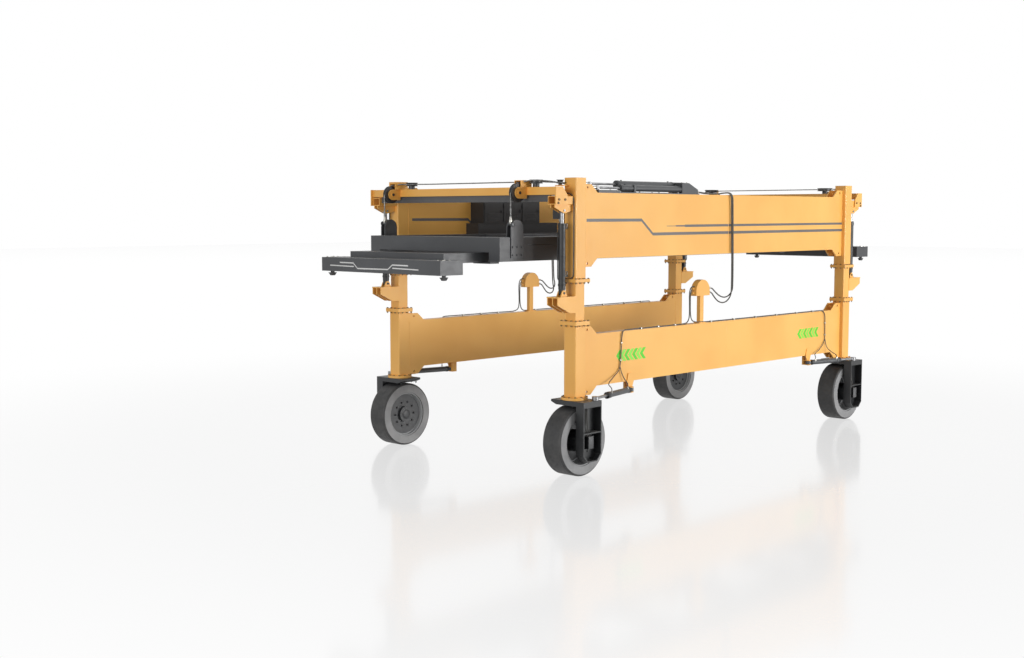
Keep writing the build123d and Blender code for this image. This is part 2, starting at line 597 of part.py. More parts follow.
# ---- leg cylinders ------------------------------------------------------------------------
with BuildPart() as leg_barrels:
    for _, sx, sy in CORNERS:
        x, y = sx * LEG_CYLINDER_X, sy * AXLE_Y
        with BuildSketch(Plane.XY.offset(LEG_BARREL_BOTTOM)):
            with Locations((x, y)):
                Circle(LEG_BARREL_RADIUS)
        extrude(amount=LEG_BARREL_LENGTH)
        with BuildSketch(Plane.XY.offset(LEG_BARREL_TOP)):
            with Locations((x, y)):
                Circle(LEG_CAP_RADIUS)
        extrude(amount=-LEG_CAP_HEIGHT)
        with BuildSketch(Plane.XY.offset(LEG_BARREL_TOP)):
            with Locations((x, y)):
                Circle(LEG_ROD_RADIUS + LEG_ROD_CLEARANCE)
        extrude(amount=-(LEG_BARREL_LENGTH - LEG_ROD_LIFT + LEG_ROD_CLEARANCE), mode=Mode.SUBTRACT)
        with BuildSketch(side_plane(y)):
            with Locations((x, (LEG_BOTTOM_PIN_Z + LEG_BARREL_BOTTOM) / 2)):
                Rectangle(2 * LEG_EYE_RADIUS, LEG_EYE_NECK)
        extrude(amount=LEG_LUG_HALF_GAP - 1, both=True)
        clevis_pin(x, y, LEG_BOTTOM_PIN_Z)
save(leg_barrels, "leg_cylinder_barrels")

with BuildPart() as leg_rods:
    for _, sx, sy in CORNERS:
        x, y = sx * LEG_CYLINDER_X, sy * AXLE_Y
        rod_bottom = LEG_BARREL_BOTTOM + LEG_ROD_LIFT
        with BuildSketch(Plane.XY.offset(rod_bottom)):
            with Locations((x, y)):
                Circle(LEG_ROD_RADIUS)
        extrude(amount=LEG_TOP_PIN_Z - rod_bottom)
        clevis_pin(x, y, LEG_TOP_PIN_Z)
save(leg_rods, "leg_cylinder_rods")


# ---- upper side frames: hollow legs, deep beam, collars with wear pads ---------------------
CORNER_SHEAVE_X = LEG_FACE + CORNER_SHEAVE_GAP + CORNER_SHEAVE_RADIUS
CORNER_SHEAVE_Y = HOIST_INNER_Y - CORNER_SHEAVE_RADIUS + SHEAVE_GROOVE - ROPE_RADIUS
CORNER_PLATE_TOP = CROSSBEAM_TOP + CORNER_PLATE_RISE
for side, sy in SIDES:
    with BuildPart() as upper_frame:
        beam(sy, UPPER_BEAM_BOTTOM, UPPER_BEAM_TOP)
        for sx in (-1, 1):
            square_leg(sx, sy, UPPER_COLUMN_BOTTOM, COLUMN_TOP, COLUMN_SIZE, COLUMN_CORNER)
            collar(sx, sy, UPPER_COLUMN_BOTTOM, UPPER_COLLAR_THICKNESS)
        if side == "near":
            # shelf on the front leg for the sheave that turns a rope to the hoist cylinders
            box_between(
                -CORNER_SHEAVE_X - CORNER_SHEAVE_RADIUS, -LEG_FACE + COLUMN_WALL,
                CORNER_SHEAVE_Y - 2 * CORNER_SHEAVE_RADIUS, CORNER_SHEAVE_Y + CORNER_SHEAVE_RADIUS,
                CORNER_PLATE_TOP - CORNER_PLATE, CORNER_PLATE_TOP,
            )
        else:
            # block that the hoses leave from
            block_face = BEAM_FACE - HOSE_BLOCK_INSET
            box_between(
                HOSE_BLOCK_X - HOSE_BLOCK[0] / 2, HOSE_BLOCK_X + HOSE_BLOCK[0] / 2,
                block_face - HOSE_BLOCK[1], block_face, UPPER_BEAM_TOP, UPPER_BEAM_TOP + HOSE_BLOCK[2],
            )
        bore = COLUMN_SIZE - 2 * COLUMN_WALL
        pad_bore = INNER_COLUMN_SIZE + 2 * WEAR_PAD_GAP
        pad_top = UPPER_COLUMN_BOTTOM + WEAR_PAD_HEIGHT
        for sx in (-1, 1):
            square_leg(
                sx, sy, pad_top, COLUMN_TOP - 2 * COLUMN_WALL, bore, COLUMN_CORNER - COLUMN_WALL,
                mode=Mode.SUBTRACT,
            )
            square_leg(
                sx, sy, UPPER_COLUMN_BOTTOM, pad_top, pad_bore, INNER_COLUMN_CORNER,
                mode=Mode.SUBTRACT,
            )
    save(upper_frame, f"{side}_upper_frame")


# ---- crossbeams between the side frames, ahead of and behind the legs ----------------------
for end, sx in ENDS:
    with BuildPart() as crossbeam:
        box_between(
            sx * CROSSBEAM_BACK, sx * CROSSBEAM_FACE, -CROSSBEAM_HALF, CROSSBEAM_HALF,
            CROSSBEAM_BOTTOM, CROSSBEAM_TOP,
        )
        lip = CROSSBEAM_FACE + END_PLATE_LIP
        foot = CHANNEL_BOTTOM - END_PLATE_DROP
        for sy in (-1, 1):
            with BuildSketch(side_plane(sy * (CROSSBEAM_HALF + END_PLATE_THICKNESS / 2))):
                with BuildLine():
                    Polyline(
                        (sx * lip, CROSSBEAM_TOP + 2),
                        (sx * (CROSSBEAM_FACE - END_PLATE_TOE), CROSSBEAM_TOP + 2),
                        (sx * (CROSSBEAM_FACE - END_PLATE_HEEL + 10), CROSSBEAM_BOTTOM),
                        (sx * (CROSSBEAM_FACE - END_PLATE_HEEL), foot),
                        (sx * lip, foot),
                        close=True,
                    )
                make_face()
            extrude(amount=END_PLATE_THICKNESS / 2, both=True)

            # open square tube from the leg out to the crossbeam's face
            tube_y = sy * (CROSSBEAM_HALF - TUBE_WIDTH / 2)
            tube_z = (TUBE_TOP + TUBE_BOTTOM) / 2
            with BuildSketch(Plane((sx * LEG_FACE, tube_y, tube_z), x_dir=(0, 1, 0), z_dir=(sx, 0, 0))):
                RectangleRounded(TUBE_WIDTH, TUBE_HEIGHT, TUBE_WALL)
                Rectangle(TUBE_WIDTH - 2 * TUBE_WALL, TUBE_HEIGHT - 2 * TUBE_WALL, mode=Mode.SUBTRACT)
            extrude(amount=CROSSBEAM_FACE - LEG_FACE)

            for side_sign in (-1, 1):
                lug_y = sy * AXLE_Y + side_sign * (LEG_LUG_HALF_GAP + LEG_LUG_THICKNESS / 2)
                with BuildSketch(side_plane(lug_y)):
                    with BuildLine():
                        Polyline(
                            (sx * LEG_FACE, TUBE_BOTTOM),
                            (sx * CROSSBEAM_FACE, TUBE_BOTTOM),
                            (sx * CROSSBEAM_FACE, TUBE_BOTTOM - LUG_TIP),
                            (sx * LEG_FACE, LEG_TOP_PIN_Z),
                            close=True,
                        )
                    make_face()
                    with Locations((sx * LEG_CYLINDER_X, LEG_TOP_PIN_Z)):
                        Circle(LEG_EYE_RADIUS)
                    make_hull()
                    with Locations((sx * LEG_CYLINDER_X, LEG_TOP_PIN_Z)):
                        Circle(LEG_PIN_RADIUS, mode=Mode.SUBTRACT)
                extrude(amount=LEG_LUG_THICKNESS / 2, both=True)

                cheek_in = SHEAVE_WIDTH / 2 + CHEEK_GAP
                cheek_y = sy * ROPE_Y + side_sign * (cheek_in + CHEEK_THICKNESS / 2)
                with BuildSketch(side_plane(cheek_y)):
                    with Locations((sx * SHEAVE_X, SHEAVE_Z)):
                        Circle(CHEEK_RADIUS)
                    with Locations((sx * (SHEAVE_X + CROSSBEAM_FACE) / 2, SHEAVE_Z)):
                        Rectangle(SHEAVE_X - CROSSBEAM_FACE, 2 * CHEEK_RADIUS)
                    with Locations((sx * SHEAVE_X, SHEAVE_Z)):
                        Circle(SHEAVE_PIN_RADIUS, mode=Mode.SUBTRACT)
                extrude(amount=CHEEK_THICKNESS / 2, both=True)
                boss_y = sy * ROPE_Y + side_sign * (cheek_in + CHEEK_THICKNESS + CHEEK_BOSS / 2)
                with BuildSketch(side_plane(boss_y)):
                    with Locations((sx * SHEAVE_X, SHEAVE_Z)):
                        Circle(CHEEK_BOSS_RADIUS)
                        Circle(SHEAVE_PIN_RADIUS, mode=Mode.SUBTRACT)
                extrude(amount=CHEEK_BOSS / 2, both=True)
    save(crossbeam, f"{end}_crossbeam")

    with BuildPart() as channel:
        outer = CROSSBEAM_FACE - CHANNEL_SET_BACK
        half = CROSSBEAM_HALF - TUBE_WIDTH - CHANNEL_END_GAP
        box_between(sx * (outer - CHANNEL_DEPTH), sx * outer, -half, half, CHANNEL_BOTTOM, CROSSBEAM_BOTTOM)
        box_between(
            sx * (outer - CHANNEL_DEPTH), sx * (outer - CHANNEL_WALL), -half, half,
            CHANNEL_BOTTOM + CHANNEL_WALL, CROSSBEAM_BOTTOM - CHANNEL_WALL, mode=Mode.SUBTRACT,
        )
    save(channel, f"{end}_cable_channel")


# ---- rope sheaves and the hoods over them --------------------------------------------------
with BuildPart() as drop_sheaves:
    for _, sx, sy in CORNERS:
        centre = (sx * SHEAVE_X, sy * ROPE_Y, SHEAVE_Z)
        with BuildSketch(Plane(centre, x_dir=(1, 0, 0), z_dir=(0, 0, 1))) as profile:
            groove_profile(SHEAVE_RADIUS, SHEAVE_WIDTH)
        revolve(profiles=profile.sketch, axis=Axis(centre, (0, 1, 0)))
        with BuildSketch(side_plane(sy * ROPE_Y)):
            with Locations((sx * SHEAVE_X, SHEAVE_Z)):
                Circle(SHEAVE_PIN_RADIUS - PIN_CLEARANCE)
        pin_half = SHEAVE_WIDTH / 2 + CHEEK_GAP + CHEEK_THICKNESS + CHEEK_BOSS + PIN_END
        extrude(amount=pin_half, both=True)
save(drop_sheaves, "drop_sheaves")

with BuildPart() as top_sheaves:
    for sx, sy, out, radius in TOP_SHEAVES:
        level_sheave(
            sx * (CROSSBEAM_BACK + CROSSBEAM_DEPTH / 2), sy * (ROPE_Y + out), radius,
            TOP_SHEAVE_POST, CROSSBEAM_TOP,
        )
    level_sheave(
        -CORNER_SHEAVE_X, CORNER_SHEAVE_Y, CORNER_SHEAVE_RADIUS, CORNER_SHEAVE_RADIUS / 2, CORNER_PLATE_TOP,
    )
save(top_sheaves, "top_sheaves")

with BuildPart() as rope_guards:
    for end, sx, sy in CORNERS:
        tip = CROSSBEAM_FACE + GUARD_REACH
        if sx < 0:
            outline = (
                (CROSSBEAM_FACE - GUARD_SEAT, 0),
                (CROSSBEAM_FACE - GUARD_SEAT, GUARD_HEIGHT),
                (tip, GUARD_HEIGHT),
                (tip, 0),
            )
        else:
            outline = (
                (CROSSBEAM_FACE - REAR_GUARD_SEAT, 0),
                (CROSSBEAM_FACE - REAR_GUARD_SEAT, REAR_RAIL_HEIGHT),
                (tip - REAR_HOOD_LENGTH, REAR_RAIL_HEIGHT),
                (tip - REAR_HOOD_LENGTH, GUARD_HEIGHT),
                (tip, GUARD_HEIGHT),
                (tip, 0),
            )
        guard_y = sy * (ROPE_Y - GUARD_SHIFT)
        with BuildSketch(side_plane(guard_y)):
            with BuildLine():
                Polyline(*[(sx * x, CROSSBEAM_TOP + rise) for x, rise in outline], close=True)
            make_face()
        extrude(amount=GUARD_WIDTH / 2, both=True)
        clear_half = GUARD_WIDTH / 2 - GUARD_WALL
        box_between(
            sx * (CROSSBEAM_FACE - GUARD_SEAT), sx * tip, guard_y - clear_half, guard_y + clear_half,
            CROSSBEAM_TOP, CROSSBEAM_TOP + GUARD_HEIGHT - GUARD_WALL, mode=Mode.SUBTRACT,
        )
save(rope_guards, "rope_guards")


# ---- hoist cylinders on the near upper beam -----------------------------------------------
# Y, axis height, barrel radius, barrel's front and rear
HOIST_CYLINDERS = (
    (-BEAM_Y, HOIST_OUTER_Z, HOIST_OUTER_RADIUS, *HOIST_OUTER_BARREL),
    (HOIST_INNER_Y, HOIST_INNER_Z, HOIST_INNER_RADIUS, *HOIST_INNER_BARREL),
)
HOIST_BASE_TOP = UPPER_BEAM_TOP + HOIST_BASE_PLATE
HOIST_INSIDE = HOIST_INNER_Y + HOIST_INNER_RADIUS
with BuildPart() as hoist_barrels:
    box_between(
        HOIST_BASE_FRONT, HOIST_CLEVIS[1], -BEAM_FACE, HOIST_INSIDE, UPPER_BEAM_TOP, HOIST_BASE_TOP,
    )
    box_between(
        HOIST_BASE_FRONT, HOIST_BASE_FRONT + HOIST_CHANNEL_LENGTH, -BEAM_FACE, HOIST_INSIDE,
        HOIST_BASE_TOP, HOIST_BASE_TOP + HOIST_CHANNEL_HEIGHT,
    )
    box_between(
        *HOIST_BAND, -BEAM_Y - HOIST_OUTER_RADIUS - HOIST_BAND_LIP, HOIST_INSIDE,
        HOIST_BASE_TOP, HOIST_INNER_Z - HOIST_BAND_LIP,
    )
    with BuildSketch(side_plane((-BEAM_FACE + HOIST_SIDE + HOIST_INSIDE) / 2)):
        with BuildLine():
            Polyline(
                (HOIST_CLEVIS[0], HOIST_BASE_TOP),
                (HOIST_CLEVIS[0], UPPER_BEAM_TOP + HOIST_CLEVIS_HEIGHT),
                (HOIST_CLEVIS[0] + HOIST_CLEVIS_LEVEL, UPPER_BEAM_TOP + HOIST_CLEVIS_HEIGHT),
                (HOIST_CLEVIS[1], UPPER_BEAM_TOP + HOIST_CLEVIS_HEEL),
                (HOIST_CLEVIS[1], HOIST_BASE_TOP),
                close=True,
            )
        make_face()
    extrude(amount=(HOIST_INSIDE + BEAM_FACE - HOIST_SIDE) / 2, both=True)
    for y, z, radius, front, rear in HOIST_CYLINDERS:
        axis_plane = Plane((front, y, z), x_dir=(0, 1, 0), z_dir=(1, 0, 0))
        with BuildSketch(axis_plane):
            Circle(radius)
        extrude(amount=rear - front)
        with BuildSketch(axis_plane):
            Circle(HOIST_ROD_RADIUS + HOIST_ROD_CLEARANCE)
        extrude(amount=HOIST_BORE_DEPTH, mode=Mode.SUBTRACT)
save(hoist_barrels, "hoist_cylinder_barrels")

with BuildPart() as hoist_rods:
    for y, z, radius, front, rear in HOIST_CYLINDERS:
        with BuildSketch(Plane((HOIST_ROD_FRONT, y, z), x_dir=(0, 1, 0), z_dir=(1, 0, 0))):
            Circle(HOIST_ROD_RADIUS)
        extrude(amount=front + HOIST_BORE_DEPTH - HOIST_EYE_RADIUS - HOIST_ROD_FRONT)
        with BuildSketch(side_plane(y)):
            with Locations((HOIST_ROD_FRONT, z)):
                Circle(HOIST_EYE_RADIUS)
        extrude(amount=HOIST_EYE_WIDTH / 2, both=True)
save(hoist_rods, "hoist_cylinder_rods")


# ---- cabinet on the far side, valve box by the near front leg -------------------------------
with BuildPart() as cabinet:
    cabinet_top = UPPER_BEAM_TOP - CABINET_DROP
    cabinet_bottom = cabinet_top - CABINET[3]
    cabinet_front = BEAM_BACK - CABINET[2]
    box_between(CABINET[0], CABINET[1], cabinet_front, BEAM_BACK, cabinet_bottom, cabinet_top)
    door_pitch = (CABINET[1] - CABINET[0]) / CABINET_DOORS
    for index in range(CABINET_DOORS):
        door_start = CABINET[0] + index * door_pitch
        box_between(
            door_start + CABINET_DOOR_GAP, door_start + door_pitch - CABINET_DOOR_GAP,
            cabinet_front - CABINET_DOOR_DEPTH, cabinet_front,
            cabinet_bottom + CABINET_DOOR_GAP, cabinet_top - CABINET_DOOR_GAP,
        )
    box_between(
        CABINET_TRAY[0], CABINET_TRAY[1], BEAM_BACK - CABINET_TRAY[2], BEAM_BACK,
        cabinet_bottom - CABINET_TRAY[3], cabinet_bottom,
    )
save(cabinet, "equipment_cabinet")

with BuildPart() as valve_box:
    box_between(
        -AXLE_X - VALVE_BOX[0] / 2, -AXLE_X + VALVE_BOX[0] / 2,
        HALF_COLUMN - AXLE_Y, HALF_COLUMN - AXLE_Y + VALVE_BOX[1],
        UPPER_BEAM_TOP - VALVE_BOX_DROP - VALVE_BOX[2], UPPER_BEAM_TOP - VALVE_BOX_DROP,
    )
save(valve_box, "valve_box")


# ---- spreader: main frame, yokes, telescopes, end beams, twistlocks ------------------------
SHOE_TOP = TELESCOPE_BOTTOM - WEAR_PAD_GAP
with BuildPart() as spreader_frame:
    for sy in (-1, 1):
        box_between(
            -HALF_FRAME, HALF_FRAME, sy * GIRDER_BACK, sy * HALF_WIDTH,
            SPREADER_FRAME_BOTTOM, SPREADER_FRAME_TOP,
        )
    for place, width in (
        (-HALF_FRAME + SPREADER_TIE_WIDTH / 2, SPREADER_TIE_WIDTH),
        (-HALF_FRAME / 2, SPREADER_TIE_WIDTH / 2),
        (0, SPREADER_TIE_WIDTH / 2),
        (HALF_FRAME / 2, SPREADER_TIE_WIDTH / 2),
        (HALF_FRAME - SPREADER_TIE_WIDTH / 2, SPREADER_TIE_WIDTH),
    ):
        box_between(
            place - width / 2, place + width / 2, -GIRDER_BACK, GIRDER_BACK,
            SPREADER_TIE_BOTTOM, SPREADER_FRAME_TOP,
        )
    for _, sx, sy in CORNERS:
        shoe_end = HALF_FRAME - SHOE_LENGTH
        for start in (shoe_end - SHOE_INSET, shoe_end - SHOE_PITCH):
            box_between(
                sx * start, sx * (start + SHOE_LENGTH),
                sy * (GIRDER_BACK - SHOE_THICKNESS), sy * GIRDER_BACK,
                SHOE_TOP - SHOE_THICKNESS, SPREADER_TIE_BOTTOM,
            )
            box_between(
                sx * start, sx * (start + SHOE_LENGTH), sy * TELESCOPE_INSIDE, sy * GIRDER_BACK,
                SHOE_TOP - SHOE_THICKNESS, SHOE_TOP,
            )
        box_between(
            sx * (HALF_FRAME - SPREADER_TIE_WIDTH + PAD_INSET), sx * (HALF_FRAME - PAD_INSET),
            sy * TELESCOPE_INSIDE, sy * TELESCOPE_HALF,
            TELESCOPE_TOP + WEAR_PAD_GAP, SPREADER_TIE_BOTTOM,
        )
save(spreader_frame, "spreader_frame")

with BuildPart() as yokes:
    inner_face = HALF_WIDTH - YOKE_GAP
    crown = YOKE_TOP - YOKE_WIDTH / 2
    for _, sx, sy in CORNERS:
        for plate_y, bottom in (
            (HALF_WIDTH + YOKE_THICKNESS / 2, SPREADER_FRAME_TOP - YOKE_LAP),
            (inner_face - YOKE_THICKNESS / 2, SPREADER_FRAME_TOP),
        ):
            with BuildSketch(side_plane(sy * plate_y)):
                with Locations((sx * YOKE_X, crown)):
                    Circle(YOKE_WIDTH / 2)
                with Locations((sx * YOKE_X, (crown + bottom) / 2)):
                    Rectangle(YOKE_WIDTH, crown - bottom)
            extrude(amount=YOKE_THICKNESS / 2, both=True)
        pin_half = YOKE_GAP / 2 + YOKE_THICKNESS + YOKE_PIN_END
        with BuildSketch(side_plane(sy * ROPE_Y)):
            with Locations((sx * ROPE_X, YOKE_PIN_Z)):
                Circle(YOKE_PIN_RADIUS)
        extrude(amount=pin_half, both=True)
save(yokes, "rope_yokes")

for end, sx in ENDS:
    back = END_BEAM_OUT - END_BEAM_DEPTH
    with BuildPart() as telescope:
        rear = TELESCOPE_FRONT - TELESCOPE_LENGTH
        for sy in (-1, 1):
            box_between(
                sx * rear, sx * TELESCOPE_FRONT, sy * TELESCOPE_INSIDE, sy * TELESCOPE_HALF,
                TELESCOPE_BOTTOM, TELESCOPE_TOP,
            )
        for start in (rear, TELESCOPE_FRONT - TELESCOPE_ARM_WIDTH):
            box_between(
                sx * start, sx * (start + TELESCOPE_ARM_WIDTH), -TELESCOPE_INSIDE, TELESCOPE_INSIDE,
                TELESCOPE_BOTTOM, TELESCOPE_TOP,
            )
    save(telescope, f"{end}_telescope")

    with BuildPart() as end_beam:
        box_between(
            sx * back, sx * END_BEAM_OUT, -END_BEAM_HALF, END_BEAM_HALF, END_BEAM_BOTTOM, END_BEAM_TOP,
        )
        box_between(
            sx * back, sx * TELESCOPE_FRONT, -TELESCOPE_HALF, TELESCOPE_HALF,
            TELESCOPE_BOTTOM, END_BEAM_TOP, mode=Mode.SUBTRACT,
        )
    save(end_beam, f"{end}_end_beam")

    with BuildPart() as twistlocks:
        for sy in (-1, 1):
            centre = (sx * (END_BEAM_OUT - TWISTLOCK_INSET), sy * TWISTLOCK_SPACING / 2)
            with BuildSketch(Plane.XY.offset(END_BEAM_BOTTOM)):
                with Locations(centre):
                    Circle(TWISTLOCK_SHANK_RADIUS)
            extrude(amount=-TWISTLOCK_SHANK)
            head_top = END_BEAM_BOTTOM - TWISTLOCK_SHANK
            with BuildSketch(Plane.XY.offset(head_top)):
                with Locations(centre):
                    Rectangle(*TWISTLOCK_HEAD)
            with BuildSketch(Plane.XY.offset(head_top - TWISTLOCK_HEAD_HEIGHT)):
                with Locations(centre):
                    Rectangle(*TWISTLOCK_TIP)
            loft()
    save(twistlocks, f"{end}_twistlocks")

with BuildPart() as hoist_ropes:
    rope_foot = YOKE_PIN_Z + YOKE_PIN_RADIUS
    for _, sx, sy in CORNERS:
        with BuildSketch(Plane.XY.offset(rope_foot)):
            with Locations((sx * ROPE_X, sy * ROPE_Y)):
                Circle(ROPE_RADIUS)
        extrude(amount=SHEAVE_Z - rope_foot)
save(hoist_ropes, "hoist_ropes")


# ---- corner sets: fork, wheel, tyre and steering cylinder ----------------------------------
HUB_FACE = AXLE_Y - RIM_DISC_Y + RIM_DISC_THICKNESS / 2 + MOTOR_GAP
STUB_END = AXLE_Y - WHEEL_WIDTH / 2 + STUB_INSET
DISC_MOTOR_SIDE = RIM_DISC_Y - RIM_DISC_THICKNESS / 2
DISC_INBOARD = RIM_DISC_Y + RIM_DISC_THICKNESS / 2
HUB_END = DISC_INBOARD + HUB_LENGTH
RIM_INSIDE = TYRE_INNER_RADIUS - RIM_WALL
RIM_EDGE = WHEEL_WIDTH / 2 - RIM_INSET
for corner, sx, sy in CORNERS:
    cx, cy = sx * AXLE_X, sy * AXLE_Y
    web_out = sy * (FORK_WEB + FORK_PLATE)
    leg_out = sy * FORK_OUT

    with BuildPart() as fork:
        inboard = AXLE_Y - FORK_ARM_INBOARD
        with BuildSketch(Plane((cx, 0, 0), x_dir=(0, 1, 0), z_dir=(1, 0, 0))):
            with BuildLine():
                Polyline(
                    (leg_out, FORK_TOP),
                    (leg_out, FORK_ARM_BOTTOM),
                    (sy * (inboard + FORK_ARM_CHAMFER), FORK_ARM_BOTTOM),
                    (sy * inboard, FORK_TOP - FORK_ARM_TIP),
                    (sy * inboard, FORK_TOP),
                    close=True,
                )
            make_face()
        extrude(amount=FORK_HALF_LENGTH, both=True)

        # dished leg outboard of the wheel: web, flange all round and a rib across
        with BuildSketch(side_plane(sy * FORK_WEB)):
            fork_leg_outline(cx)
        extrude(amount=-sy * FORK_PLATE)
        with BuildSketch(side_plane(web_out)):
            fork_leg_outline(cx)
            offset(amount=-FORK_PLATE, mode=Mode.SUBTRACT)
        extrude(amount=-sy * (FORK_LEG_DEPTH - FORK_PLATE))
        rib = WHEEL_RADIUS + FORK_RIB_RISE
        box_between(
            cx - FORK_HALF_LENGTH, cx + FORK_HALF_LENGTH, web_out, leg_out, rib, rib + FORK_PLATE,
        )
        box_between(
            cx - FORK_BLOCK[0] / 2, cx + FORK_BLOCK[0] / 2, web_out, web_out + sy * FORK_BLOCK[1],
            WHEEL_RADIUS - FORK_BLOCK[2] / 2, WHEEL_RADIUS + FORK_BLOCK[2] / 2,
        )

        # hub motor through the rim, and the stub that the wheel turns on
        for radius, start, end_y in (
            (MOTOR_RADIUS, HUB_FACE, FORK_WEB),
            (HUB_BORE_RADIUS - AXLE_CLEARANCE, STUB_END, HUB_FACE),
        ):
            with BuildSketch(side_plane(sy * (start + end_y) / 2)):
                with Locations((cx, WHEEL_RADIUS)):
                    Circle(radius)
            extrude(amount=(end_y - start) / 2, both=True)
    save(fork, f"{corner}_fork")

    hub_plane = Plane((cx, cy, WHEEL_RADIUS), x_dir=(1, 0, 0), z_dir=(0, 0, 1))
    with BuildPart() as wheel:
        with BuildSketch(hub_plane):
            with BuildLine():
                Polyline(
                    (HUB_BORE_RADIUS, -sy * DISC_MOTOR_SIDE),
                    (RIM_INSIDE, -sy * DISC_MOTOR_SIDE),
                    (RIM_INSIDE, sy * RIM_EDGE),
                    (TYRE_INNER_RADIUS, sy * RIM_EDGE),
                    (TYRE_INNER_RADIUS, -sy * RIM_EDGE),
                    (RIM_INSIDE, -sy * RIM_EDGE),
                    (RIM_INSIDE, -sy * DISC_INBOARD),
                    (HUB_RADIUS, -sy * DISC_INBOARD),
                    (HUB_RADIUS, -sy * HUB_END),
                    (HUB_BORE_RADIUS, -sy * HUB_END),
                    close=True,
                )
            make_face()
        revolve(axis=Axis((cx, cy, WHEEL_RADIUS), (0, 1, 0)))
    save(wheel, f"{corner}_wheel")

    with BuildPart() as tyre:
        half_width = WHEEL_WIDTH / 2
        with BuildSketch(hub_plane):
            with BuildLine():
                Polyline(
                    (TYRE_INNER_RADIUS, -half_width),
                    (WHEEL_RADIUS - TYRE_SHOULDER, -half_width),
                    (WHEEL_RADIUS - TYRE_CROWN, -half_width + TYRE_SHOULDER / 2),
                    (WHEEL_RADIUS, -half_width + TYRE_SHOULDER),
                    (WHEEL_RADIUS, half_width - TYRE_SHOULDER),
                    (WHEEL_RADIUS - TYRE_CROWN, half_width - TYRE_SHOULDER / 2),
                    (WHEEL_RADIUS - TYRE_SHOULDER, half_width),
                    (TYRE_INNER_RADIUS, half_width),
                    close=True,
                )
            make_face()
        revolve(axis=Axis((cx, cy, WHEEL_RADIUS), (0, 1, 0)))
    save(tyre, f"{corner}_tyre")

    # steering cylinder: from its bracket on the lower beam to the pin on the fork
    bracket = (cx - sx * STEER_BRACKET_X, cy + sy * STEER_BRACKET_Y)
    pin = (cx - sx * STEER_PIN_X, cy + sy * STEER_PIN_Y)
    run = hypot(pin[0] - bracket[0], pin[1] - bracket[1])
    along = ((pin[0] - bracket[0]) / run, (pin[1] - bracket[1]) / run, 0)
    barrel_start = STEER_EYE_RADIUS + STEER_NECK
    barrel_end = barrel_start + STEER_BARREL_LENGTH

    def on_cylinder(distance):
        """Plane across the cylinder's axis at a distance from its bracket pin."""
        origin = (bracket[0] + along[0] * distance, bracket[1] + along[1] * distance, STEER_Z)
        return Plane(origin, x_dir=(0, 0, 1), z_dir=along)

    with BuildPart() as steer_barrel:
        with BuildSketch(on_cylinder(barrel_start)):
            Circle(STEER_BARREL_RADIUS)
        extrude(amount=STEER_BARREL_LENGTH)
        with BuildSketch(on_cylinder(barrel_end)):
            Circle(STEER_CAP_RADIUS)
        extrude(amount=-STEER_CAP_LENGTH)
        with BuildSketch(Plane.XY.offset(STEER_Z)):
            with Locations(bracket):
                Circle(STEER_EYE_RADIUS)
        extrude(amount=STEER_EYE_HEIGHT / 2, both=True)
        with BuildSketch(on_cylinder(STEER_EYE_RADIUS / 2)):
            Circle(STEER_EYE_HEIGHT / 2 - STEER_LUG_GAP)
        extrude(amount=STEER_EYE_RADIUS / 2 + STEER_NECK)
        with BuildSketch(Plane.XY.offset(STEER_Z)):
            with Locations(bracket):
                Circle(STEER_PIN_RADIUS + STEER_PIN_CLEARANCE)
        extrude(amount=STEER_EYE_HEIGHT, both=True, mode=Mode.SUBTRACT)
        with BuildSketch(on_cylinder(barrel_end)):
            Circle(STEER_ROD_RADIUS + STEER_PIN_CLEARANCE)
        extrude(amount=-(STEER_BARREL_LENGTH - STEER_BORE_END), mode=Mode.SUBTRACT)
    save(steer_barrel, f"{corner}_steering_barrel")

    with BuildPart() as steer_rod:
        rod_start = barrel_end - STEER_ROD_INSIDE
        with BuildSketch(on_cylinder(rod_start)):
            Circle(STEER_ROD_RADIUS)
        extrude(amount=run - STEER_EYE_RADIUS / 2 - rod_start)
        with BuildSketch(Plane.XY.offset(STEER_Z)):
            with Locations(pin):
                Circle(STEER_EYE_RADIUS)
        extrude(amount=STEER_EYE_HEIGHT / 2, both=True)
    save(steer_rod, f"{corner}_steering_rod")


# ---- hose guides on the lower beams, and the hoses that hang to them ------------------------
GUIDE_CROWN = GUIDE_TOP - GUIDE_RADIUS
GLAND_END = GUIDE_RADIUS + GLAND_REACH
with BuildPart() as hose_guides:
    for sy in (-1, 1):
        with BuildSketch(side_plane(sy * BEAM_Y)):
            with Locations((GUIDE_X, GUIDE_CROWN)):
                Circle(GUIDE_RADIUS)
            with Locations((GUIDE_X, GUIDE_CROWN - GUIDE_RADIUS)):
                Rectangle(2 * GUIDE_RADIUS, 2 * GUIDE_RADIUS, mode=Mode.SUBTRACT)
            with Locations((GUIDE_X, GUIDE_CROWN - GUIDE_DROP / 2)):
                Rectangle(2 * GUIDE_RADIUS, GUIDE_DROP)
        extrude(amount=GUIDE_DEPTH / 2, both=True)
        bottom = GUIDE_CROWN - GUIDE_DROP
        with Locations((GUIDE_X, sy * BEAM_Y, (LOWER_BEAM_TOP + bottom) / 2)):
            Box(*GUIDE_POST, bottom - LOWER_BEAM_TOP)
        with Locations((GUIDE_X, sy * BEAM_Y, LOWER_BEAM_TOP + GUIDE_FOOT[2] / 2)):
            Box(*GUIDE_FOOT)
        for lift in GLANDS:
            gland_plane = Plane(
                (GUIDE_X, sy * BEAM_Y, GUIDE_CROWN + lift), x_dir=(0, 1, 0), z_dir=(1, 0, 0),
            )
            with BuildSketch(gland_plane):
                Circle(GLAND_RADIUS)
            extrude(amount=GLAND_END, both=True)
save(hose_guides, "hose_guides")

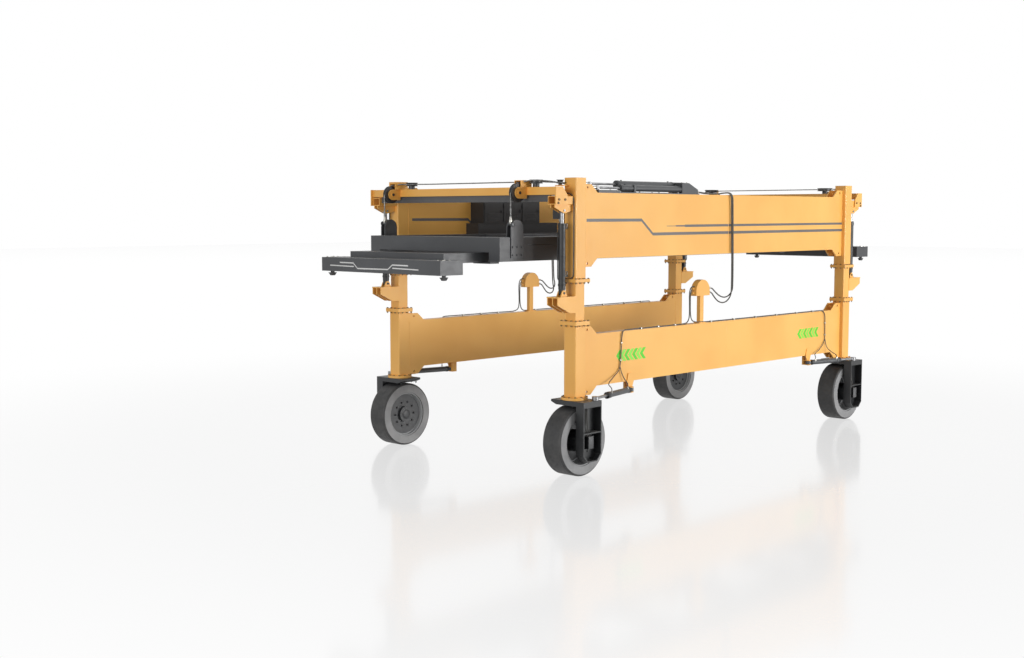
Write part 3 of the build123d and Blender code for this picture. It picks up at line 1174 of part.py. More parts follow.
for side, sy in SIDES:
    starts = HOSES_FROM_CYLINDERS if side == "near" else HOSES_FROM_BLOCK
    for letter, lift in zip("ab", GLANDS):
        gland_z = GUIDE_CROWN + lift
        over = [
            (x, sy * (BEAM_FACE + out), UPPER_BEAM_TOP + rise)
            for x, out, rise in starts[letter] + HOSES_OVER_EDGE[letter]
        ]
        down = [(x, sy * (BEAM_Y + out), gland_z + rise) for x, out, rise in HOSES_TO_GLAND[letter]]
        last = (GUIDE_X + GLAND_END + GLAND_GAP, sy * BEAM_Y, gland_z)
        hose(f"{side}_hose_loop_{letter}", [*over, *down, last])
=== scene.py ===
"""Mobile gantry straddle carrier: the finishes, hoses, ropes and small fittings on its frame."""
import math

import bpy
from mathutils import Matrix, Vector


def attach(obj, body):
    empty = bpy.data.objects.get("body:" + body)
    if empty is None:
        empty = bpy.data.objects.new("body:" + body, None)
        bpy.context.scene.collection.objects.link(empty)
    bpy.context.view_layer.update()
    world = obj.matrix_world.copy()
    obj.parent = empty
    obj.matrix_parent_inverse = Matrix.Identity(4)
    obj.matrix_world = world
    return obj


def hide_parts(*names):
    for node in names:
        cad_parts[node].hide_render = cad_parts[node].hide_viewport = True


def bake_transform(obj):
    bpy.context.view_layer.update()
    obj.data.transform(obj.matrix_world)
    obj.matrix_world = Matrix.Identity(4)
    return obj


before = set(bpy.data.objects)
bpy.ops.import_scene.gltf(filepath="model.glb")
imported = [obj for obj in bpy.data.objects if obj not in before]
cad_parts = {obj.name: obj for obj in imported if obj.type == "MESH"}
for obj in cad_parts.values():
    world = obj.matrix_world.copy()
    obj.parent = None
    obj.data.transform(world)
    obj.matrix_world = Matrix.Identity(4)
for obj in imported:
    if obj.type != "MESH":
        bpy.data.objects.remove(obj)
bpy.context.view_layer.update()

# ---- Camera ----
# A long lens set low ahead of the front near leg, looking along the machine
# and slightly down, so that the near side frame runs away to the right.
camera_data = bpy.data.cameras.new("camera")
camera_data.lens = 46.56
camera_data.sensor_width = 36.0
camera_data.shift_x = 0.0005
camera_data.shift_y = 0.0034
camera_data.clip_end = 400
camera = bpy.data.objects.new("camera", camera_data)
camera.location = (-16.892, -13.4555, 3.518)
camera.rotation_euler = (math.radians(90 - 5.08), 0, math.radians(43.81 - 90))
bpy.context.scene.collection.objects.link(camera)
bpy.context.scene.camera = camera


# ---- Free hose loops ----
# Four limp hydraulic hoses, two a side, 20 mm of braided rubber. Each leaves the top of an upper
# beam, drops down the outside in a loop and comes back up into the guide on the lower beam.
class Value:
    """One socket of a shader, so that sums on it can be written as plain expressions."""

    def __init__(self, finish, socket):
        self.finish = finish
        self.socket = socket

    def join(self, operation, *values):
        return self.finish.node("ShaderNodeMath", {"operation": operation}, *values)

    def __add__(self, other):
        return self.join("ADD", self, other)

    def __sub__(self, other):
        return self.join("SUBTRACT", self, other)

    def __rsub__(self, other):
        return self.join("SUBTRACT", other, self)

    def __mul__(self, other):
        return self.join("MULTIPLY", self, other)

    def __abs__(self):
        return self.join("ABSOLUTE", self)

    __radd__ = __add__
    __rmul__ = __mul__

    def ramp(self, low, high, bottom=0.0, top=1.0):
        """Bottom below low and top above high, with a smooth rise between."""
        return self.finish.node(
            "ShaderNodeMapRange", {"interpolation_type": "SMOOTHSTEP"},
            self, low, high, bottom, top,
        )


class Finish:
    """A material, or the world, with its main shader and one way to add any other node."""

    def __init__(self, name, kind="materials", main="Principled BSDF", **constants):
        self.data = getattr(bpy.data, kind).new(name)
        self.data.use_nodes = True
        self.tree = self.data.node_tree
        self.shader = self.tree.nodes[main]
        for socket, value in constants.items():
            self.shader.inputs[socket.replace("_", " ")].default_value = value

    def node(self, kind, settings, *values, output=0):
        made = self.tree.nodes.new(kind)
        for name, value in settings.items():
            setattr(made, name, value)
        for index, value in enumerate(values):
            if isinstance(value, Value):
                self.tree.links.new(value.socket, made.inputs[index])
            elif value is not None:
                made.inputs[index].default_value = value
        return Value(self, made.outputs[output])

    def where(self, stretch=(1, 1, 1)):
        """Place on the piece, in metres, stretched per axis."""
        place = self.node("ShaderNodeTexCoord", {}, output=3)
        return self.node("ShaderNodeMapping", {}, place, (0, 0, 0), (0, 0, 0), stretch)

    def along(self, axis):
        """Place on the piece along one axis, in metres."""
        return self.node("ShaderNodeSeparateXYZ", {}, self.where(), output="XYZ".index(axis))

    def noise(self, scale, detail=3.0, stretch=(1, 1, 1), roughness=0.55):
        place = self.where(stretch)
        return self.node("ShaderNodeTexNoise", {}, place, None, scale, detail, roughness)

    def mix(self, factor, *colours):
        """The first of two colours to the second by a factor."""
        first, second = (
            colour if isinstance(colour, Value) else (*colour, 1) for colour in colours
        )
        skipped = [None] * 5
        return self.node(
            "ShaderNodeMix", {"data_type": "RGBA"}, factor, *skipped, first, second, output=2,
        )

    def bump(self, height, strength, distance):
        self.feed(Normal=self.node("ShaderNodeBump", {}, strength, distance, 1.0, height))

    def feed(self, **links):
        for socket, value in links.items():
            self.tree.links.new(value.socket, self.shader.inputs[socket.replace("_", " ")])


# The hose cover is matt black rubber with a fine wrapped weave, scuffed paler in places.
rubber = Finish("hose cover rubber", Metallic=0.0)
scuff = rubber.noise(18.0, 4.0, roughness=0.7).ramp(0.5, 0.75)
rubber.feed(
    Base_Color=rubber.mix(scuff, (0.055, 0.050, 0.044), (0.115, 0.105, 0.092)),
    Roughness=rubber.noise(30.0, 3.0).ramp(0.3, 0.8, 0.42, 0.62),
)
rubber.bump(rubber.noise(420.0, 2.0, (1, 1, 0.3)) + rubber.noise(55.0, 2.0), 0.2, 0.001)
hose_cover = rubber.data


def centre_line(name, route, thickness=0.0):
    """A smooth NURBS line with the route as its control points, and a round section if asked."""
    data = bpy.data.curves.new(name, "CURVE")
    data.dimensions = "3D"
    data.resolution_u = 8
    data.bevel_depth = thickness / 2
    data.bevel_resolution = 4
    data.use_fill_caps = True
    spline = data.splines.new("NURBS")
    spline.points.add(len(route) - 1)
    for point, place in zip(spline.points, route):
        point.co = (*place, 1)
    spline.order_u = 3
    spline.use_endpoint_u = True
    line = bpy.data.objects.new(name, data)
    bpy.context.scene.collection.objects.link(line)
    return line


def tube(name, route, thickness):
    """A round tube of mesh along the NURBS line of a route."""
    line = centre_line(name, route, thickness)
    mesh = bpy.data.meshes.new_from_object(line)
    bpy.data.objects.remove(line)
    made = bpy.data.objects.new(name, mesh)
    bpy.context.scene.collection.objects.link(made)
    mesh.name = name
    mesh.shade_smooth()
    return made


def path_of(route):
    """Points along the NURBS line of a route, in order."""
    line = centre_line("line", route)
    mesh = bpy.data.meshes.new_from_object(line)
    points = [vertex.co.copy() for vertex in mesh.vertices]
    bpy.data.objects.remove(line)
    bpy.data.meshes.remove(mesh)
    return points


def dress(piece, finish):
    """One material on a piece, in place of any that it has."""
    piece.data.materials.clear()
    piece.data.materials.append(finish)


HOSE_WIDTH = 0.020
BEAM_MIDDLE = 1.7485
drop_a = [
    (-0.090, -1.803, 3.846), (-0.014, -1.844, 3.850), (0.030, -1.852, 3.806),
    (0.048, -1.852, 3.720), (0.084, -1.852, 2.372), (0.088, -1.820, 2.262),
    (0.030, -1.794, 2.192), (-0.065, -1.780, 2.174), (-0.165, -1.764, 2.206),
    (-0.252, -1.752, 2.284), (-0.312, -BEAM_MIDDLE, 2.352), (-0.3797, -BEAM_MIDDLE, 2.352),
]
drop_b = [
    (-0.062, -1.762, 3.846), (0.022, -1.840, 3.854), (0.070, -1.852, 3.796),
    (0.082, -1.852, 3.718), (0.114, -1.852, 2.430), (0.122, -1.824, 2.340),
    (0.074, -1.797, 2.276), (-0.022, -1.783, 2.254), (-0.126, -1.766, 2.286),
    (-0.220, -1.752, 2.352), (-0.305, -BEAM_MIDDLE, 2.418), (-0.3797, -BEAM_MIDDLE, 2.418),
]
hose_routes = {
    "near_hose_loop_a": [
        (-0.7497, -1.778, 3.852), (-0.660, -1.778, 3.850), (-0.520, -1.781, 3.834),
        (-0.330, -1.788, 3.829), (-0.170, -1.795, 3.834), *drop_a,
    ],
    "near_hose_loop_b": [
        (-0.7497, -1.740, 3.852), (-0.655, -1.740, 3.850), (-0.515, -1.742, 3.834),
        (-0.330, -1.747, 3.829), (-0.160, -1.754, 3.834), *drop_b,
    ],
    "far_hose_loop_a": [(-0.1697, 1.803, 3.846), *((x, -y, z) for x, y, z in drop_a)],
    "far_hose_loop_b": [(-0.1697, 1.762, 3.846), *((x, -y, z) for x, y, z in drop_b)],
}
for name, route in hose_routes.items():
    hose = tube(name + "_cover", route, HOSE_WIDTH)
    dress(hose, hose_cover)
    side = route[-1][1]
    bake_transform(hose)
    path_of(route)
    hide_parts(name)

# ---- Floor, backdrop and lights ----
# A white glossy studio floor that keeps soft shadows and mirrored shapes. A broad low lamp
# stands off the near rear corner, so the near side is bright and the front faces fall in shade.
AMBIENT = 0.34
GLOW_STARTS, GLOW_FULL = 6.0, 16.0


def only(*pieces):
    """Nothing selected but these, with the first of them active."""
    bpy.ops.object.select_all(action="DESELECT")
    for piece in pieces:
        piece.select_set(True)
    bpy.context.view_layer.objects.active = pieces[0]


only(camera)
bpy.ops.mesh.primitive_plane_add(size=240, location=(0, 0, 0))
floor = bpy.context.object
floor.name = "floor"


def looked_at(finish):
    """One for a ray from the camera or a mirror, nothing for one that only carries light."""
    from_camera, from_mirror = (
        finish.node("ShaderNodeLightPath", {}, output=output) for output in (0, 3)
    )
    return from_camera + from_mirror


pale = Finish("pale floor", Base_Color=(0.26, 0.26, 0.26, 1), Roughness=0.3)
reach = pale.node("ShaderNodeVectorMath", {"operation": "LENGTH"}, pale.where(), output=1)
glow = pale.node("ShaderNodeEmission", {}, (1, 1, 1, 1), 1.0)
ground = pale.node(
    "ShaderNodeMixShader", {}, reach.ramp(GLOW_STARTS, GLOW_FULL, 0.86, 1.0) * looked_at(pale),
    Value(pale, pale.shader.outputs[0]), glow,
)
mirror = pale.node("ShaderNodeBsdfAnisotropic", {}, (1, 1, 1, 1), 0.11)
shine = pale.node("ShaderNodeFresnel", {}, 1.3) * 0.55
surface = pale.node("ShaderNodeMixShader", {}, shine, ground, mirror)
pale.tree.links.new(surface.socket, pale.tree.nodes["Material Output"].inputs[0])
floor.data.materials.append(pale.data)

studio = Finish("studio", "worlds", "Background", Color=(1, 1, 1, 1))
studio.feed(Strength=looked_at(studio) * (1 - AMBIENT) + AMBIENT)
bpy.context.scene.world = studio.data


def lamp(name, place, target, size, power):
    """A soft panel lamp, size wide and high, that faces a target."""
    data = bpy.data.lights.new(name, "AREA")
    data.shape = "RECTANGLE"
    data.size, data.size_y = size
    data.energy = power
    made = bpy.data.objects.new(name, data)
    made.location = place
    made.rotation_euler = (Vector(target) - Vector(place)).to_track_quat("-Z", "Y").to_euler()
    bpy.context.scene.collection.objects.link(made)


lamp("key", (6, -19, 3.4), (0, 0, 2.4), size=(9, 3.6), power=2600)
lamp("fill", (-19, -3, 4.5), (0, 0, 2), size=(7, 5), power=920)
bpy.context.scene.view_settings.view_transform = "Standard"


# ---- Paint on the frames ----
# The side frames, crossbeams, columns and hose guides are welded steel in a warm yellow gloss
# enamel. It is a little uneven from the spray gun, dusty on top and chipped grey on its edges.
def paint(name, colour, dark, chips, rough, fleck, dust, coat=0.0):
    """Sprayed enamel: slow shifts of tone, fine orange peel, dust on top and rubbed flecks."""
    made = Finish(name, Coat_Weight=coat, Coat_Roughness=0.12, Metallic=0.0)
    fine = made.noise(14.0, 4.0)
    tone = made.mix(made.noise(0.9, 2.0).ramp(0.35, 0.7), dark, colour)
    worn = made.noise(38.0, 5.0, roughness=0.7).ramp(0.715, 0.74) * fine.ramp(0.5, 0.62)
    tone = made.mix(worn * fleck, tone, chips)
    normal = made.node("ShaderNodeNewGeometry", {}, output=1)
    upward = made.node("ShaderNodeSeparateXYZ", {}, normal, output=2)
    settled = upward.ramp(0.6, 0.98) * made.noise(5.0, 4.0).ramp(0.4, 0.72) * dust
    made.feed(
        Base_Color=made.mix(settled, tone, (0.52, 0.5, 0.46)),
        Roughness=rough + fine.ramp(0.3, 0.8) * 0.12 + settled * 0.3,
    )
    made.bump(made.noise(260.0, 2.0) + made.noise(9.0, 2.0) * 2.0, 0.06, 0.002)
    return made.data


def cover(node_names, finish):
    """CAD nodes of these names get a finish."""
    for name in node_names:
        dress(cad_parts[name], finish)


yellow = paint(
    "yellow enamel", (0.93, 0.50, 0.115), (0.87, 0.44, 0.09), (0.30, 0.24, 0.17),
    rough=0.40, fleck=0.5, dust=0.25, coat=0.15,
)
cover([
    "near_lower_frame", "far_lower_frame", "near_inner_columns", "far_inner_columns",
    "near_upper_frame", "far_upper_frame", "front_crossbeam", "rear_crossbeam",
    "rope_guards", "hose_guides",
], yellow)

# ---- Spreader, cabinets and channels ----
# The lifting frame, its telescopes and end beams, the cable channels and the equipment
# cabinets are folded and welded steel in dark grey enamel. The cabinets and the valve box are
# darkened to near black on top of that, as painted shade for the deep shade inside the frame.
spreader_grey = paint(
    "spreader grey enamel", (0.062, 0.065, 0.070), (0.048, 0.050, 0.054), (0.2, 0.2, 0.2),
    rough=0.40, fleck=0.6, dust=0.3,
)
cover([
    "spreader_frame", "rope_yokes", "front_telescope", "rear_telescope",
    "front_end_beam", "rear_end_beam",
], spreader_grey)
channel_grey = paint(
    "channel grey enamel", (0.105, 0.106, 0.108), (0.070, 0.071, 0.074), (0.24, 0.24, 0.24),
    rough=0.5, fleck=0.6, dust=0.3,
)
cover(["front_cable_channel", "rear_cable_channel"], channel_grey)
# Painted shade: this near-black stands for the deep shade on the cabinet and valve box inside the
# frame. It is used again on the cabinet louvres and the girder slot strips.
shade_darkened_charcoal = paint(
    "charcoal painted shade enamel", (0.022, 0.022, 0.023), (0.016, 0.016, 0.017), (0.12, 0.12, 0.12),
    rough=0.42, fleck=0.6, dust=0.3,
)
cover(["equipment_cabinet", "valve_box"], shade_darkened_charcoal)

# ---- Cylinders ----
# Hoist and steering barrels are drawn tube in grey enamel, the long leg barrels in near black,
# and every rod is hard chromed steel, ground along its length.
ENDS = (("front", -1), ("rear", 1))
SIDES = (("near", -1), ("far", 1))
CORNERS = [
    (end + "_" + side, x_side, y_side) for end, x_side in ENDS for side, y_side in SIDES
]
cylinder_grey = paint(
    "cylinder grey enamel", (0.070, 0.073, 0.077), (0.055, 0.058, 0.062), (0.3, 0.3, 0.3),
    rough=0.34, fleck=0.5, dust=0.3,
)
barrel_black = paint(
    "leg barrel black enamel", (0.012, 0.013, 0.014), (0.008, 0.009, 0.010), (0.2, 0.2, 0.2),
    rough=0.44, fleck=0.4, dust=0.12,
)
chrome = Finish("hard chrome", Metallic=1.0)
hazed = chrome.noise(12.0, 3.0).ramp(0.4, 0.7)
chrome.feed(
    Base_Color=chrome.mix(hazed, (0.22, 0.22, 0.225), (0.32, 0.32, 0.325)),
    Roughness=chrome.noise(60.0, 3.0).ramp(0.3, 0.8, 0.34, 0.46),
)
chrome.bump(chrome.noise(90.0, 2.0, (1, 1, 8)), 0.05, 0.001)
cover(["leg_cylinder_barrels"], barrel_black)
cover([
    "hoist_cylinder_barrels", *(corner + "_steering_barrel" for corner, _, _ in CORNERS),
], cylinder_grey)
cover([
    "leg_cylinder_rods", "hoist_cylinder_rods",
    *(corner + "_steering_rod" for corner, _, _ in CORNERS),
], chrome.data)

# ---- Sheaves and ropes ----
# Turned steel sheaves, blackened with grease where the rope runs, and steel wire ropes
# of six laid strands in a thin coat of grease.
sheave_black = paint(
    "sheave steel", (0.032, 0.033, 0.036), (0.022, 0.023, 0.025), (0.28, 0.27, 0.26),
    rough=0.36, fleck=0.8, dust=0.3,
)
cover(["drop_sheaves", "top_sheaves"], sheave_black)
strands = Finish("greased wire rope", Metallic=0.8)
lay = strands.node(
    "ShaderNodeTexWave", {"bands_direction": "DIAGONAL"}, strands.where(), 70.0, 0.4, 2.0, 1.0,
)
grease = strands.noise(30.0, 3.0).ramp(0.35, 0.7)
strands.feed(
    Base_Color=strands.mix(grease, (0.10, 0.10, 0.10), (0.24, 0.24, 0.235)),
    Roughness=strands.noise(50.0, 3.0).ramp(0.3, 0.8, 0.35, 0.55),
)
strands.bump(lay, 0.5, 0.001)
wire = strands.data
cover(["hoist_ropes"], wire)

# ---- Wheels ----
# Press-on rubber tyres with a plain tread and a chamfered black shoulder. Their side walls are
# scuffed to a pale grey. The dished steel rims are light grey at the edge, with a black disc.
AXLE_X, AXLE_Z = 3.490, 0.475
TYRE_INNER, TYRE_OUTER = 1.627, 1.930
SOFTLY = 0.004


def from_axle(made):
    """Distance out from any of the four axles, in metres."""
    across = made.node(
        "ShaderNodeCombineXYZ", {}, abs(made.along("X")) - AXLE_X, 0.0, made.along("Z") - AXLE_Z,
    )
    return made.node("ShaderNodeVectorMath", {"operation": "LENGTH"}, across, output=1)


rim = Finish("two-tone rim enamel", Metallic=0.0)
rim_tone = rim.mix(
    from_axle(rim).ramp(0.300, 0.300 + SOFTLY), (0.030, 0.031, 0.033), (0.30, 0.305, 0.31),
)
chipped = rim.noise(34.0, 5.0, roughness=0.7).ramp(0.66, 0.70) * 0.6
rim.feed(
    Base_Color=rim.mix(chipped, rim_tone, (0.15, 0.145, 0.14)),
    Roughness=rim.noise(14.0, 4.0).ramp(0.3, 0.8, 0.36, 0.5),
)
rim.bump(rim.noise(200.0, 2.0) + rim.noise(9.0, 2.0) * 2.0, 0.08, 0.002)
cover([corner + "_wheel" for corner, _, _ in CORNERS], rim.data)

tread = Finish("tyre rubber", Metallic=0.0)
radius = from_axle(tread)
off_centre = abs(tread.along("Y"))
on_wall = (
    off_centre.ramp(TYRE_OUTER - SOFTLY, TYRE_OUTER)
    + off_centre.ramp(TYRE_INNER, TYRE_INNER + SOFTLY, 1.0, 0.0)
)
wall_band = radius.ramp(0.336, 0.339) * radius.ramp(0.447, 0.450, 1.0, 0.0)
scrub = tread.noise(7.0, 4.0).ramp(0.3, 0.75)
black_tone = tread.mix(scrub, (0.026, 0.026, 0.027), (0.048, 0.047, 0.046))
wall_wear = tread.noise(4.0, 4.0).ramp(0.3, 0.7)
wall_tone = tread.mix(wall_wear, (0.22, 0.22, 0.222), (0.30, 0.30, 0.303))
tread.feed(
    Base_Color=tread.mix(on_wall * wall_band, black_tone, wall_tone),
    Roughness=tread.noise(24.0, 3.0).ramp(0.3, 0.8, 0.5, 0.7),
)
tread.bump(tread.noise(60.0, 4.0) + tread.noise(8.0, 2.0), 0.25, 0.002)
cover([corner + "_tyre" for corner, _, _ in CORNERS], tread.data)

# ---- Wheel forks ----
# One-sided forks of welded plate in near-black enamel, with the hub motor bolted to the web
# from outside. The twistlocks of the spreader are in the same black.
fork_black = paint(
    "fork black enamel", (0.020, 0.021, 0.023), (0.015, 0.016, 0.017), (0.20, 0.20, 0.20),
    rough=0.36, fleck=0.7, dust=0.35,
)
cover([corner + "_fork" for corner, _, _ in CORNERS], fork_black)
cover(["front_twistlocks", "rear_twistlocks"], fork_black)

# ---- Stripes on the side frames ----
# Dark grey stripes of enamel, masked and sprayed on the outer face of each upper beam and on its
# inner face. They step down behind the front leg and run back to the rear one.
BEAM_OUTER, BEAM_INNER = 1.8235, 1.6735
FILM = 0.0012


def gather(name, pieces):
    """Several meshes joined into one."""
    only(*pieces)
    bpy.ops.object.join()
    made = bpy.context.object
    made.name = name
    made.data.name = name
    return made


def fit(piece, body, finish):
    """A finished piece gets its material and rides on its body."""
    dress(piece, finish)
    only(piece)
    bpy.ops.object.shade_smooth_by_angle(angle=math.radians(35))
    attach(piece, body)


def strip(stations, width, lift, across="Z"):
    """A flat band through the stations, extruded edge by edge, then raised by its own lift."""
    bpy.ops.object.select_all(action="DESELECT")
    spread = Vector((0, 0, width / 2)) if across == "Z" else Vector((width / 2, 0, 0))
    bpy.ops.mesh.primitive_plane_add(size=1)
    made = bpy.context.object
    places = [Vector(station) for station in stations]
    for corner, place in zip(made.data.vertices, (
        places[0] - spread, places[1] - spread, places[0] + spread, places[1] + spread,
    )):
        corner.co = place
    for element in (*made.data.polygons, *made.data.edges, *made.data.vertices):
        element.select = False
    made.data.vertices[1].select = True
    made.data.vertices[3].select = True
    bpy.ops.object.mode_set(mode="EDIT")
    bpy.ops.mesh.select_mode(type="VERT")
    for before, after in zip(places[1:], places[2:]):
        bpy.ops.mesh.extrude_region_move(TRANSFORM_OT_translate={"value": after - before})
    bpy.ops.mesh.select_all(action="SELECT")
    bpy.ops.mesh.extrude_region_move(TRANSFORM_OT_translate={"value": lift})
    bpy.ops.mesh.select_all(action="SELECT")
    bpy.ops.mesh.normals_make_consistent(inside=False)
    bpy.ops.object.mode_set(mode="OBJECT")
    return made


stripe_grey = paint(
    "stripe grey enamel", (0.135, 0.133, 0.128), (0.11, 0.108, 0.104), (0.45, 0.28, 0.10),
    rough=0.38, fleck=0.4, dust=0.1,
)
for side, y_side in SIDES:
    for face, y, lift in (("outer", BEAM_OUTER, FILM), ("inner", BEAM_INNER, -FILM)):
        bands = [
            strip([(x, y * y_side, z) for x, z in stations], width, (0, lift * y_side, 0))
            for width, stations in (
                (0.042, [(-3.31, 3.444), (-2.12, 3.444), (-1.86, 3.245), (3.385, 3.258)]),
                (0.036, [(-1.10, 3.357), (3.385, 3.369)]),
                (0.008, [(-1.54, 3.356), (-1.32, 3.3565)]),
                (0.022, [(-1.32, 3.3565), (-1.10, 3.357)]),
            )
        ]
        stripes = gather(side + "_" + face + "_stripes", bands)
        fit(stripes, "upper_frame", stripe_grey)

# ---- Green arrows ----
# Seven plain pointed marks in bright green film at each end of the near and far lower beams'
# outer faces, every other one paler. They point to the front.
ARROW_PITCH = 0.088
arrow_bright = paint(
    "bright green film", (0.09, 0.66, 0.01), (0.07, 0.58, 0.01), (0.3, 0.6, 0.1),
    rough=0.35, fleck=0.3, dust=0.1,
)
arrow_pale = paint(
    "pale green film", (0.26, 0.80, 0.06), (0.22, 0.72, 0.05), (0.5, 0.7, 0.3),
    rough=0.35, fleck=0.3, dust=0.1,
)
for side, y_side in SIDES:
    y = BEAM_OUTER * y_side
    bright, faint = [], []
    for start in (-2.63, 2.06):
        for index in range(7):
            tip = start + ARROW_PITCH * index
            (faint if index % 2 else bright).append(strip(
                [(tip + 0.070, y, 1.640), (tip, y, 1.560), (tip + 0.070, y, 1.480)],
                0.064, (0, FILM * y_side, 0), across="X",
            ))
    fit(gather(side + "_bright_arrows", bright), "chassis", arrow_bright)
    fit(gather(side + "_pale_arrows", faint), "chassis", arrow_pale)

# ---- White lines on the end beams ----
# Thin white enamel lines on the outward face of each spreader end beam: one long line
# that dips in the middle, and two short straight ones under its ends.
END_BEAM_FACE = 5.4200
line_white = paint(
    "white line enamel", (0.72, 0.72, 0.71), (0.62, 0.62, 0.61), (0.25, 0.25, 0.25),
    rough=0.4, fleck=0.4, dust=0.1,
)
for end, x_side in ENDS:
    lines = [
        strip(
            [(END_BEAM_FACE * x_side, -y * x_side, z) for y, z in stations],
            width, (0.0002 * x_side, 0, 0),
        )
        for width, stations in (
            (0.017, [
                (0.81, 2.869), (0.52, 2.867), (0.43, 2.795),
                (-0.19, 2.799), (-0.28, 2.860), (-0.59, 2.858),
            ]),
            (0.015, [(1.02, 2.826), (0.51, 2.819)]),
            (0.015, [(-0.28, 2.818), (-0.79, 2.809)]),
        )
    ]
    lines = gather(end + "_end_beam_lines", lines)
    fit(lines, end + "_spreader_end", line_white)


# ---- Weld beads ----
# Butt welds where each long beam is made up from two plates, ground nearly flush, and
# the fillet runs where the beams meet the legs. They are painted over with the frame.
def block(corner, opposite, ease):
    """A block between two opposite corners with its edges eased."""
    bpy.ops.object.select_all(action="DESELECT")
    middle = [(a + b) / 2 for a, b in zip(corner, opposite)]
    size = [abs(b - a) for a, b in zip(corner, opposite)]
    bpy.ops.mesh.primitive_cube_add(size=1, location=middle, scale=size)
    made = bpy.context.object
    bpy.ops.object.transform_apply(location=True, rotation=True, scale=True)
    bpy.ops.object.mode_set(mode="EDIT")
    bpy.ops.mesh.select_all(action="SELECT")
    bpy.ops.mesh.bevel(offset=ease, segments=2, affect="EDGES")
    bpy.ops.object.mode_set(mode="OBJECT")
    return made


for side, y_side in SIDES:
    for level, body, butt, fillet in (
        ("upper", "upper_frame", (2.932, 3.812), (2.95, 3.80)),
        ("lower", "chassis", (1.187, 1.898), (1.20, 1.89)),
    ):
        beads = []
        for face in (BEAM_OUTER, BEAM_INNER):
            y = face * y_side
            for x_from, x_to, half, (foot, top), ease in (
                (0.006, 0.015, 0.0018, butt, 0.0012),
                (-3.388, -3.380, 0.004, fillet, 0.003),
                (3.380, 3.388, 0.004, fillet, 0.003),
            ):
                beads.append(block((x_from, y - half, foot), (x_to, y + half, top), ease))
        fit(gather(side + "_" + level + "_welds", beads), body, yellow)

# ---- Collar and flange bolts ----
# Hexagon bolts with washers, a dozen round every square collar and every turntable flange,
# with their nuts and thread ends below. They were sprayed with the frame; their colour is the
# frame yellow darkened to brown, as painted shade round the heads.
UP, DOWN = (0, 0, 1), (0, 0, -1)
COLUMN_Y = 1.7785
FLANGE_TOP = 1.068
LOWER_COLLAR_FOOT, LOWER_COLLAR_TOP = 2.045, 2.097
UPPER_COLLAR_FOOT, UPPER_COLLAR_TOP = 2.620, 2.662
PLATE_FACE = 1.8635
# Painted shade: a darkened copy of the frame yellow, for the shade seen on the bolt heads.
bolt_shaded_yellow = paint(
    "overpainted bolt in painted shade", (0.30, 0.17, 0.045), (0.16, 0.095, 0.03), (0.10, 0.09, 0.08),
    rough=0.45, fleck=0.8, dust=0.3,
)


def screw_head(across, height, tail=0.0):
    """A hexagon head on a washer, looking up +Z from the origin, with an optional thread end."""
    bpy.ops.object.select_all(action="DESELECT")
    bpy.ops.mesh.primitive_cylinder_add(
        vertices=12, radius=across * 0.68, depth=height * 0.25, location=(0, 0, height * 0.125),
    )
    washer = bpy.context.object
    bpy.ops.object.select_all(action="DESELECT")
    bpy.ops.mesh.primitive_cylinder_add(
        vertices=6, radius=across * 0.577, depth=height * 0.75, location=(0, 0, height * 0.625),
    )
    head = bpy.context.object
    bpy.ops.object.transform_apply(location=True, rotation=True, scale=True)
    bpy.ops.object.mode_set(mode="EDIT")
    bpy.ops.mesh.select_all(action="DESELECT")
    bpy.ops.object.mode_set(mode="OBJECT")
    for face in head.data.polygons:
        face.select = face.normal.z > 0.9
    bpy.ops.object.mode_set(mode="EDIT")
    bpy.ops.mesh.inset(thickness=across * 0.07, depth=height * 0.10)
    if tail:
        bpy.ops.mesh.inset(thickness=across * 0.20, depth=0)
        bpy.ops.mesh.extrude_region_move(TRANSFORM_OT_translate={"value": (0, 0, tail)})
    bpy.ops.object.mode_set(mode="OBJECT")
    only(washer)
    bpy.ops.object.transform_apply(location=True, rotation=True, scale=True)
    return gather("screw", [washer, head])


def repeat(name, first, moves):
    """Copies of one mesh, each moved by its own matrix, joined as one piece."""
    made = []
    for move in moves:
        copy = first.copy()
        copy.data = first.data.copy()
        copy.data.transform(move)
        bpy.context.scene.collection.objects.link(copy)
        made.append(copy)
    bpy.data.objects.remove(first)
    return gather(name, made)


def at(x, y, z, towards=UP):
    """A move that stands a thing at a point with its top towards a direction."""
    facing = Vector(towards).to_track_quat("Z", "Y")
    return Matrix.Translation((x, y, z)) @ facing.to_matrix().to_4x4()


def ring(radius, count, first=0):
    """Pairs of offsets evenly round a circle, from a first angle in degrees."""
    angles = [math.radians(first + 360 / count * step) for step in range(count)]
    return [(radius * math.cos(angle), radius * math.sin(angle)) for angle in angles]


def round_legs(offsets, height, towards=UP):
    """A move to each offset round every leg, at one height."""
    return [
        at(x_side * AXLE_X + a, y_side * COLUMN_Y + b, height, towards)
        for _, x_side, y_side in CORNERS for a, b in offsets
    ]


square_ring = [
    (a * 0.1275, b * 0.1275) for a, b in (
        (-1, -1), (-0.36, -1), (0.36, -1), (1, -1), (1, -0.36), (1, 0.36),
        (1, 1), (0.36, 1), (-0.36, 1), (-1, 1), (-1, 0.36), (-1, -0.36),
    )
]
frame_screws = repeat("chassis_collar_screws", screw_head(0.024, 0.012), [
    *round_legs(square_ring, LOWER_COLLAR_TOP), *round_legs(ring(0.166, 12, 15), FLANGE_TOP),
])
frame_nuts = repeat(
    "chassis_collar_nuts", screw_head(0.024, 0.014, 0.008),
    round_legs(square_ring, LOWER_COLLAR_FOOT, DOWN),
)
fit(gather("chassis_screws", [frame_screws, frame_nuts]), "chassis", bolt_shaded_yellow)
lift_screws = repeat(
    "upper_collar_screws", screw_head(0.024, 0.012), round_legs(square_ring, UPPER_COLLAR_TOP),
)
lift_nuts = repeat(
    "upper_collar_nuts", screw_head(0.024, 0.014, 0.008),
    round_legs(square_ring, UPPER_COLLAR_FOOT, DOWN),
)
